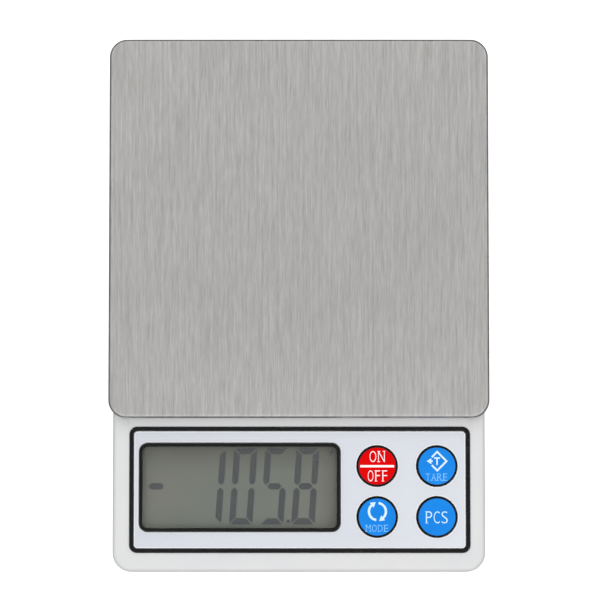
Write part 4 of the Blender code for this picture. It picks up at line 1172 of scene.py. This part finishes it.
def bar(name, start, end):
    """A bar with pointed ends between two points."""
    start, end = Vector(start), Vector(end)
    along = end - start
    let_go()
    bpy.ops.mesh.primitive_cylinder_add(vertices=6, radius=STROKE / 2, depth=CRYSTAL)
    piece = bpy.context.object
    piece.name = name
    open_up(piece)
    grab_all()
    bpy.ops.transform.rotate(value=math.radians(30), orient_axis="Z", center_override=(0, 0, 0))
    bpy.ops.transform.resize(value=(1, 1 / math.cos(math.radians(30)), 1))
    for side in (-1, 1):
        pick(piece, "FACE", lambda face: False)
        work = bmesh.from_edit_mesh(piece.data)
        bpy.ops.mesh.select_mode(type="VERT")
        for vert in work.verts:
            vert.select_set(vert.co.x * side > 0.2 * STROKE)
        bmesh.update_edit_mesh(piece.data)
        bpy.ops.transform.translate(value=(side * (along.length - STROKE) / 2, 0, 0))
    close_up()
    for vert in piece.data.vertices:
        if abs(vert.co.x) < along.length / 2 - 0.1 * STROKE:
            vert.co.x = math.copysign(along.length / 2 - TIP, vert.co.x)
    turn = Matrix.Rotation(math.atan2(along.y, along.x), 4, "Z")
    centre = (start + end) / 2
    piece.data.transform(Matrix.Translation((centre.x, centre.y, DIGIT_Z)) @ turn)
    return piece


print("a bar is", round(STROKE / MM, 2), "mm wide")

# %% [markdown]
# Seven bars, called a to g, stand round the two halves of a digit, and each sign lights
# some of them. Where two outer bars meet, their corners are filled out towards each other.

# %% One digit
SEGMENTS = {"0": "abcdef", "1": "bc", "5": "acdfg", "8": "abcdefg"}
CORNER_FILL = 0.9 * STROKE


def digit(sign, centre):
    """The segments of one sign."""
    half_x, half_y = (DIGIT_WIDTH - STROKE) / 2, (DIGIT_HEIGHT - STROKE) / 2
    lines = {
        "a": ((-half_x + GAP, half_y), (half_x - GAP, half_y)),
        "b": ((half_x, WAIST_GAP), (half_x, half_y - GAP)),
        "c": ((half_x, -half_y + GAP), (half_x, -WAIST_GAP)),
        "d": ((-half_x + GAP, -half_y), (half_x - GAP, -half_y)),
        "e": ((-half_x, -half_y + GAP), (-half_x, -WAIST_GAP)),
        "f": ((-half_x, WAIST_GAP), (-half_x, half_y - GAP)),
        "g": ((-half_x + WAIST_GAP, 0), (half_x - WAIST_GAP, 0)),
    }
    pieces = []
    for letter in SEGMENTS[sign]:
        piece = bar("segment", *lines[letter])
        for vert in piece.data.vertices:
            outside = abs(vert.co.x) > half_x + 0.1 * STROKE and abs(vert.co.y) > half_y / 2
            if letter in "ad" and abs(vert.co.y) > half_y + 0.1 * STROKE:
                vert.co.x += math.copysign(CORNER_FILL, vert.co.x)
            if letter in "bcef" and outside:
                vert.co.y += math.copysign(CORNER_FILL, vert.co.y)
        piece.data.transform(Matrix.Translation((*centre, 0)))
        pieces.append(piece)
    return pieces


def join(name, pieces):
    """Makes one object of several, without welding them."""
    take(pieces[0])
    for piece in pieces[1:]:
        piece.select_set(True)
    bpy.ops.object.join()
    pieces[0].name = name
    return pieces[0]


print("signs:", " ".join(SEGMENTS))

# %% [markdown]
# The picture on the scale is a weight below zero, after the tare: -105.8. The digits lean
# a little to the right, so the joined piece is slanted about their middle line. A paler
# copy just below it is the shadow that the crystal casts on the reflector.

# %% Digits
LEAN = 0.072  # to the right, for each metre upwards
DIGIT_PITCH = 10.45 * MM
LAST_DIGIT_X = 2.1 * MM
MINUS_X, MINUS_HALF = -48.1 * MM, 2.6 * MM
POINT_X, POINT_DROP, POINT_RADIUS = -2.85 * MM, 11.7 * MM, 0.62 * MM
digit_y = middle("window_frame").y + 0.35 * MM
segments = []
for step, sign in enumerate("8501"):
    segments += digit(sign, (LAST_DIGIT_X - step * DIGIT_PITCH, digit_y))
minus = bar("minus", *((MINUS_X + side * MINUS_HALF, digit_y) for side in (-1, 1)))
point = add_disc(
    "point", (POINT_X, digit_y - POINT_DROP), POINT_RADIUS,
    DIGIT_Z - CRYSTAL / 2, DIGIT_Z + CRYSTAL / 2, 8,
)
digits = join("display_digits", [*segments, minus, point])
for vert in digits.data.vertices:
    vert.co.x += LEAN * (vert.co.y - digit_y)
hand_over(digits, digit_ink, "case", "lcd")

SHADOW_SHIFT = (0.3 * MM, -0.25 * MM, -0.02 * MM)
shadow = copy_of(digits, "display_digits_shadow", SHADOW_SHIFT)
hand_over(shadow, digit_shadow, "case", "lcd")

# %% [markdown]
# ## The keys
# Each key is a cap with a flange under the deck that keeps it in its hole. It starts as a
# disc of the flange's size, whose top is inset to the cap's radius and pulled up. The
# caps' sides are painted near black: a painted ring of black and shade that stands for
# the black floor and the shaded gap round each coloured face. One key is shaped and the
# other three are copies, each riding on its own body.

# %% Key caps
KEY_FLANGE = 1.0 * MM
KEY_EDGE = 0.3 * MM
FLANGE_TOP = 0.9 * MM  # above the underside of the flange
cap_low, cap_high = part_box("on_off_key")
first_centre = middle("on_off_key")
flange_z = cap_low.z + FLANGE_TOP
cap = add_disc("key_on_off", first_centre, KEY_RADIUS + KEY_FLANGE, cap_low.z, flange_z, 96)
open_up(cap)
pick(cap, "FACE", at_height(flange_z))
bpy.ops.mesh.inset(thickness=KEY_FLANGE)
rise = cap_high.z - flange_z
bpy.ops.mesh.extrude_region_move(TRANSFORM_OT_translate={"value": (0, 0, rise)})
close_up()
round_rim(cap, KEY_EDGE, 4, cap_high.z)
KEY_SLOTS = {name: "blue_plastic" for name in KEY_NAMES}
KEY_SLOTS["on_off"] = "red_plastic"
PLASTICS = {"red_plastic": red_plastic, "blue_plastic": blue_plastic}
caps = {"on_off": cap}
for name in KEY_NAMES[1:]:
    caps[name] = copy_of(cap, f"key_{name}", middle(f"{name}_key") - first_centre)
for name, key in caps.items():
    slot = KEY_SLOTS[name]
    hand_over(key, PLASTICS[slot], f"{name}_button", slot, f"{name}_key")
    # painted ring of black and shade on all but the caps' flat tops
    key.data.materials.append(key_rim_black_and_shade)
    for face in key.data.polygons:
        on_top = face.center.z > cap_high.z - NEAR and face.normal.z > LEVEL
        face.material_index = 0 if on_top else 1

# %% [markdown]
# ## The print on the keys
# The words come from a text object, made a mesh, and then stretched to the width and
# height of the print. Bars, the diamond and the round arrows are drawn as flat strips.
# All of it is a hair's breadth above the cap and rides with it.

# %% Lettering
PRINT_THICKNESS = 0.03 * MM
PRINT_Z = cap_high.z + PRINT_THICKNESS / 3
WELD = 0.0000001  # points closer than this are one


def lettering(name, word, place, width, height, z, weight=0.0):
    """A word of this width and height round a place. Weight makes its strokes bolder."""
    let_go()
    bpy.ops.object.text_add(location=(0, 0, 0))
    text = bpy.context.object
    text.name = name
    text.data.body = word
    text.data.resolution_u = 6
    text.data.offset = weight
    text.data.extrude = 0.5
    bpy.ops.object.convert(target="MESH")
    low = Vector([min(vert.co[axis] for vert in text.data.vertices) for axis in range(3)])
    high = Vector([max(vert.co[axis] for vert in text.data.vertices) for axis in range(3)])
    size = high - low
    text.scale = (width / size.x, height / size.y, PRINT_THICKNESS / size.z)
    centre = (low + high) / 2
    text.location = Vector((*place, z)) - Vector([a * b for a, b in zip(centre, text.scale)])
    settle(text)
    open_up(text)
    grab_all()
    bpy.ops.mesh.remove_doubles(threshold=WELD)
    close_up()
    return text


print_top = PRINT_Z + PRINT_THICKNESS / 2 - cap_high.z
print("print stands", round(print_top / MM, 3), "mm above the caps")

# %% Strips
def strip(name, points, width):
    """A flat strip along a line of points, welded at its bends."""
    parts = []
    for start, end in zip(points, points[1:]):
        start, end = Vector(start), Vector(end)
        along = end - start
        let_go()
        bpy.ops.mesh.primitive_cube_add(size=1, location=(0, 0, 0))
        part = bpy.context.object
        reach = along.length + (width if len(points) > 2 else 0)
        part.scale = (reach, width, PRINT_THICKNESS)
        part.rotation_euler.z = math.atan2(along.y, along.x)
        part.location = (*(start + end) / 2, PRINT_Z)
        parts.append(settle(part))
    parts[0].name = name
    join_up(parts[0], "UNION", *parts[1:])
    return parts[0]


print("strips are", PRINT_THICKNESS / MM, "mm thick")

# %% [markdown]
# The round arrows are a small upright face spun part of the way round a circle, and a
# flat triangle, which is a disc of three sides drawn out to its length and width.

# %% Arrows
def arrow_head(name, tip, heading, length, width):
    """A flat triangle whose tip is at a point. Heading is where it points, in radians."""
    let_go()
    bpy.ops.mesh.primitive_cylinder_add(vertices=3, radius=1, depth=PRINT_THICKNESS)
    head = bpy.context.object
    head.name = name
    low = min(vert.co.y for vert in head.data.vertices)
    for vert in head.data.vertices:
        across, along = vert.co.x, (vert.co.y - low) / (1 - low)
        vert.co.x = (along - 1) * length
        vert.co.y = across / math.cos(math.radians(30)) * width / 2
    head.data.transform(Matrix.Translation((*tip, PRINT_Z)) @ Matrix.Rotation(heading, 4, "Z"))
    return head


ARC_STEPS = 32


def arc(name, centre, radius, start, end, width):
    """A flat strip along part of a circle, from one angle to the other, in degrees."""
    let_go()
    bpy.ops.mesh.primitive_plane_add(size=1, rotation=(math.pi / 2, 0, 0), location=(radius, 0, 0))
    piece = bpy.context.object
    piece.name = name
    piece.scale = (width, PRINT_THICKNESS, 1)
    settle(piece)
    open_up(piece)
    grab_all()
    sweep = math.radians(end - start)
    bpy.ops.mesh.spin(steps=ARC_STEPS, angle=-sweep, center=(0, 0, 0), axis=(0, 0, 1))
    grab_all()
    bpy.ops.mesh.remove_doubles(threshold=WELD)
    pick(piece, "EDGE", lambda edge: edge.is_boundary)
    if any(edge.select for edge in bmesh.from_edit_mesh(piece.data).edges):
        bpy.ops.mesh.edge_face_add()
    grab_all()
    bpy.ops.mesh.normals_make_consistent(inside=False)
    close_up()
    turn = Matrix.Rotation(math.radians(start), 4, "Z")
    piece.data.transform(Matrix.Translation((*centre, PRINT_Z)) @ turn)
    return piece


print("an arc is swept in", ARC_STEPS, "steps")

# %% Places on the caps
def beside(name, right, up):
    """A point on a cap, from the cap's middle, in millimetres."""
    centre = middle(f"{name}_key")
    return centre.x + right * MM, centre.y + up * MM


def on_key(piece, name, material):
    """Hands over a print that rides with its key."""
    hand_over(piece, material, f"{name}_button", KEY_SLOTS[name])


print("the tare key is at", [round(side / MM, 1) for side in beside("tare", 0, 0)], "mm")

# %% [markdown]
# The print has letters with serifs, short bars across the ends of their stems. Each
# letter is made by itself and its serifs are welded on: a serif's place is given as a
# share of the letter's width and height.

# %% Letters with serifs
SERIFS = {
    "N": ((0.1, 0), (0.1, 1), (0.9, 1)), "F": ((0.14, 0), (0.1, 1)), "T": ((0.5, 0),),
    "A": ((0.04, 0), (0.96, 0)), "R": ((0.14, 0), (0.1, 1), (0.94, 0)), "E": ((0.1, 0), (0.1, 1)),
    "M": ((0.06, 0), (0.94, 0), (0.06, 1), (0.94, 1)), "D": ((0.1, 0), (0.1, 1)),
    "P": ((0.16, 0), (0.1, 1)),
}
SERIF_HEIGHT = 0.2 * MM
SERIF_SHARE = 0.42  # of the letter's width
LETTER_SHARE = 0.78  # of the step from letter to letter
NARROW = {"F": 0.86, "E": 0.9, "T": 0.95}


SERIF_WEIGHT = -0.014  # of the strokes, which the serifs make look bolder


def word_with_serifs(name, word, place, width, height):
    """A word of separate letters, whose stems end in serifs."""
    step = width / (len(word) - 1 + LETTER_SHARE)
    letter_width = LETTER_SHARE * step
    letters = []
    for number, sign in enumerate(word):
        x = place[0] + (number - (len(word) - 1) / 2) * step
        wide = letter_width * NARROW.get(sign, 1)
        made_letter = lettering("letter", sign, (x, place[1]), wide, height, PRINT_Z, SERIF_WEIGHT)
        for right, up in SERIFS.get(sign, ()):
            spot = (x + (right - 0.5) * wide, place[1] + (up - 0.5) * (height - SERIF_HEIGHT))
            half = SERIF_SHARE * letter_width / 2
            ends = [(spot[0] + side * half, spot[1]) for side in (-1, 1)]
            join_up(made_letter, "UNION", strip("serif", ends, SERIF_HEIGHT))
        letters.append(made_letter)
    return join(name, letters)


print("letters with serifs:", " ".join(SERIFS))

# %% [markdown]
# The sizes and places of the words are in millimetres from the middle of their cap. The
# red key has a line between its two words.

# %% Words on the caps
LINE_HALF, LINE_HEIGHT = 5.7, 0.75 * MM
WORDS = (  # piece, word, key, place, size and ink
    ("print_on", "ON", "on_off", (0.0, 3.2), (5.1, 3.7), white_ink),
    ("print_off", "OFF", "on_off", (0.15, -3.3), (6.6, 3.7), white_ink),
    ("print_tare", "TARE", "tare", (-0.1, -3.7), (7.4, 2.35), thin_ink),
    ("print_mode", "MODE", "mode", (0.0, -3.75), (7.6, 2.25), thin_ink),
    ("print_pcs", "PCS", "pcs", (-0.1, -0.1), (7.3, 4.0), pale_ink),
)
for piece_name, word, name, place, size, material in WORDS:
    size = [side * MM for side in size]
    on_key(word_with_serifs(piece_name, word, beside(name, *place), *size), name, material)
line_ends = [beside("on_off", side * LINE_HALF, -0.05) for side in (-1, 1)]
on_key(strip("print_line", line_ends, LINE_HEIGHT), "on_off", white_ink)

# %% [markdown]
# The tare sign is a diamond that is open on its left, where a short arrow points out of
# it, with a T inside.

# %% Tare sign
DIAMOND = 3.15  # half of its height, to the middle of the stroke, in millimetres
OPEN_X = -1.6  # where the diamond stops
SIGN_STROKE = 0.62 * MM
STEM_STROKE = 0.5 * MM


def in_sign(right, up):
    """A point from the sign's middle, in millimetres."""
    return beside("tare", 0.1 + right, 1.65 + up)


open_y = DIAMOND + OPEN_X
corners = ((OPEN_X, open_y), (0, DIAMOND), (DIAMOND, 0), (0, -DIAMOND), (OPEN_X, -open_y))
diamond = strip("diamond", [in_sign(*corner) for corner in corners], SIGN_STROKE)
tip = arrow_head("tip", in_sign(-3.55, 0), math.pi, 1.6 * MM, 2.0 * MM)
stem = strip("stem", (in_sign(-2.2, 0), in_sign(-1.5, 0)), STEM_STROKE)
letter = lettering("letter", "T", in_sign(-0.05, 0), 1.95 * MM, 2.6 * MM, PRINT_Z, 0.03)
join_up(stem, "UNION", tip)
on_key(join("print_tare_sign", [diamond, stem, letter]), "tare", pale_ink)

# %% [markdown]
# The mode sign is two round arrows that chase each other clockwise.

# %% Mode sign
ARROW_RADIUS = 2.85 * MM
ARROW_STROKE = 0.8 * MM
ARROW_REACH = 1.5 * MM  # from the end of the arc to the arrow's tip
centre = beside("mode", 0.05, 1.85)
parts = []
for start, end in ((262, 128), (82, -52)):
    sweep = arc("arc", centre, ARROW_RADIUS, start, end, ARROW_STROKE)
    last = math.radians(end)
    along = last - math.pi / 2
    tip = (
        centre[0] + ARROW_RADIUS * math.cos(last) + ARROW_REACH * math.cos(along),
        centre[1] + ARROW_RADIUS * math.sin(last) + ARROW_REACH * math.sin(along),
    )
    join_up(sweep, "UNION", arrow_head("tip", tip, along, 1.7 * MM, 2.1 * MM))
    parts.append(sweep)
on_key(join("print_mode_sign", parts), "mode", pale_ink)

# %% [markdown]
# The display's unit, grams, is a small letter above and to the right of the last digit.

# %% Unit on the display
UNIT_X, UNIT_RISE = 10.75 * MM, 10.6 * MM
UNIT_SIZE = (1.4 * MM, 2.7 * MM)
unit = lettering("display_unit", "g", (UNIT_X, digit_y + UNIT_RISE), *UNIT_SIZE, DIGIT_Z, 0.08)
hand_over(unit, digit_ink, "case", "lcd")

# %% [markdown]
# ## Under the scale
# Four rubber feet are glued into shallow seats. A foot has a soft lower edge and a dished
# sole, which grips the table at its rim. The dish is two insets of the sole, each pushed
# up a little.

# %% Feet
SOLE_RIM = 0.9 * MM
DISH_DEPTH = 0.35 * MM
foot_low, foot_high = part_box("foot_1")
foot = add_disc("rubber_foot_1", middle("foot_1"), FOOT_RADIUS, foot_low.z, foot_high.z, 64)
round_rim(foot, 0.5 * MM, 4, foot_low.z)
open_up(foot)
pick(foot, "FACE", at_height(foot_low.z))
bpy.ops.mesh.inset(thickness=SOLE_RIM)
bpy.ops.mesh.extrude_region_move(TRANSFORM_OT_translate={"value": (0, 0, DISH_DEPTH)})
bpy.ops.mesh.inset(thickness=0.4 * MM)
bpy.ops.transform.translate(value=(0, 0, 0.1 * MM))
close_up()
feet = [foot] + [
    copy_of(foot, f"rubber_{name}", middle(name) - middle("foot_1")) for name in FOOT_NAMES[1:]
]
for piece, name in zip(feet, FOOT_NAMES):
    hand_over(piece, rubber, "case", "rubber", name)

# %% [markdown]
# Screws hold the case together and the load cell down: a pan head with a cross recess,
# on a threaded shank. Cuts across the shank give it rings, and every second ring is drawn
# in, so that the shank has crests at the thread's pitch.

# %% A helper for screws
HEAD_RADIUS = 2.6 * MM
HEAD_HEIGHT = 1.4 * MM
SHANK_RADIUS = 1.5 * MM
THREAD_PITCH = 1.0 * MM
THREAD_DEPTH = 0.25 * MM
CROSS_HALF = (1.6 * MM, 0.3 * MM)
CROSS_DEPTH = 0.8 * MM


def add_screw(name, node):
    """A pan-head screw that points up: its head is at the bottom of the node's box."""
    low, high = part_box(node)
    centre = middle(node)
    seat = low.z + HEAD_HEIGHT
    head = add_disc(name, centre, HEAD_RADIUS, low.z, seat, 48)
    round_rim(head, 0.55 * MM, 4, low.z)
    shank = add_disc("shank", centre, SHANK_RADIUS, seat - 0.2 * MM, high.z, 32)
    open_up(shank)
    turns = int((high.z - seat) / THREAD_PITCH)
    for half_turn in range(2, 2 * turns):
        grab_all()
        z = seat + half_turn * THREAD_PITCH / 2
        bpy.ops.mesh.bisect(plane_co=(centre.x, centre.y, z), plane_no=(0, 0, 1))
    roots = [seat + (turn + 0.5) * THREAD_PITCH for turn in range(1, turns)]
    pick(shank, "EDGE", at_height(*roots))
    shrink = 1 - THREAD_DEPTH / SHANK_RADIUS
    bpy.ops.transform.resize(value=(shrink, shrink, 1), center_override=centre)
    close_up()
    join_up(head, "UNION", shank)
    for x, y in (CROSS_HALF, CROSS_HALF[::-1]):
        groove = add_block(
            "groove", (centre.x - x, centre.y - y, low.z - MM),
            (centre.x + x, centre.y + y, low.z + CROSS_DEPTH),
        )
        join_up(head, "DIFFERENCE", groove)
    return head


print("a screw's head is", round(2 * HEAD_RADIUS / MM, 1), "mm across")

# %% Screws
for kind, names in (("cover_screw", SCREW_NAMES), ("beam_screw", CELL_SCREWS)):
    screws = [add_screw(f"{kind}_1", names[0])]
    for name in names[1:]:
        shift = middle(name) - middle(names[0])
        screws.append(copy_of(screws[0], f"{kind}_{name[-1]}", shift))
    for piece, name in zip(screws, names):
        hand_over(piece, zinc, "case", "zinc", name)

# %% [markdown]
# ## The bending beam
# Under a load, the beam of the load cell bends in its middle, where two bores leave it
# thin: one end stays with the case and the other goes down with the plate. A rigid beam
# would be cut into by the carrier, so a welded copy of the frame's beam, and one of each
# gauge cover, gets cross cuts to bend at.

# %% Bending beam
BEAM_END = 14 * MM  # length of each stiff end
BEND_CUTS = 9
beam_low, beam_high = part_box("load_cell")
bend_start = Vector((0, beam_high.y - BEAM_END, beam_low.z))
bend_end = Vector((0, beam_low.y + BEAM_END, beam_low.z))
BENDING = (
    ("load_cell", "bending_beam", aluminium, "aluminium"),
    ("gauge_cover_top", "beam_gauge_cover_top", silicone, "silicone"),
    ("gauge_cover_bottom", "beam_gauge_cover_bottom", silicone, "silicone"),
)
for node, name, material, slot in BENDING:
    piece = bpy.data.objects.new(name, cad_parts[node].data.copy())
    bpy.context.collection.objects.link(piece)
    open_up(piece)
    grab_all()
    bpy.ops.mesh.remove_doubles(threshold=MM / 1000)
    for cut in range(BEND_CUTS):
        spot = bend_start.lerp(bend_end, (cut + 0.5) / BEND_CUTS)
        grab_all()
        bpy.ops.mesh.bisect(plane_co=spot, plane_no=(0, 1, 0))
    close_up()
    piece.data.materials.clear()
    piece.data.materials.append(material)
    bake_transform(piece)
    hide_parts(node)
    print(name, "bends over", round((bend_start - bend_end).length / MM, 1), "mm")

# %% [markdown]
# ## Inside
# The parts inside keep the shapes that the frame gives them and only need their finishes:
# the carrier and its screws, the spacer under the beam, the board and its switches,
# the cells, their contacts and the wires.

# %% Finishes for the parts inside
INSIDE = {
    "platter_carrier": white_plastic, "carrier_screw": zinc,
    "load_cell_spacer": aluminium, "load_cell_cable": white_jacket,
    "cable_socket": white_plastic, "main_board": board_green, "controller_blob": epoxy,
    "lcd_reflector": switch_metal, "lcd_holder": grey_plastic, "zebra_strip": rubber,
    "battery_cell": battery_jacket, "battery_link": zinc, "battery_contact": zinc,
    "battery_spring": zinc, "battery_lead_red": red_jacket, "battery_lead_black": black_jacket,
    "board_screw": zinc, "plunger": black_gloss, "switch": switch_metal,
}
for name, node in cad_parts.items():
    if node.hide_render:
        continue
    ways = [key for key in INSIDE if name.startswith(key) or name.endswith(key)]
    best = max(ways, key=len)
    node.data.materials.clear()
    node.data.materials.append(INSIDE[best])
print("parts kept from the frame:", sum(not node.hide_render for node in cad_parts.values()))

# %% [markdown]
# ## Closing
# The finished model's box is set against the frame's, and the difference is printed.
# The finished model has to fill the same box as the frame.

# %% Sizes and finish
new_low, new_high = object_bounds()
growth = [round((b - a) / MM, 3) for a, b in zip(cad_high - cad_low, new_high - new_low)]
print("visual box minus frame box, mm:", growth)
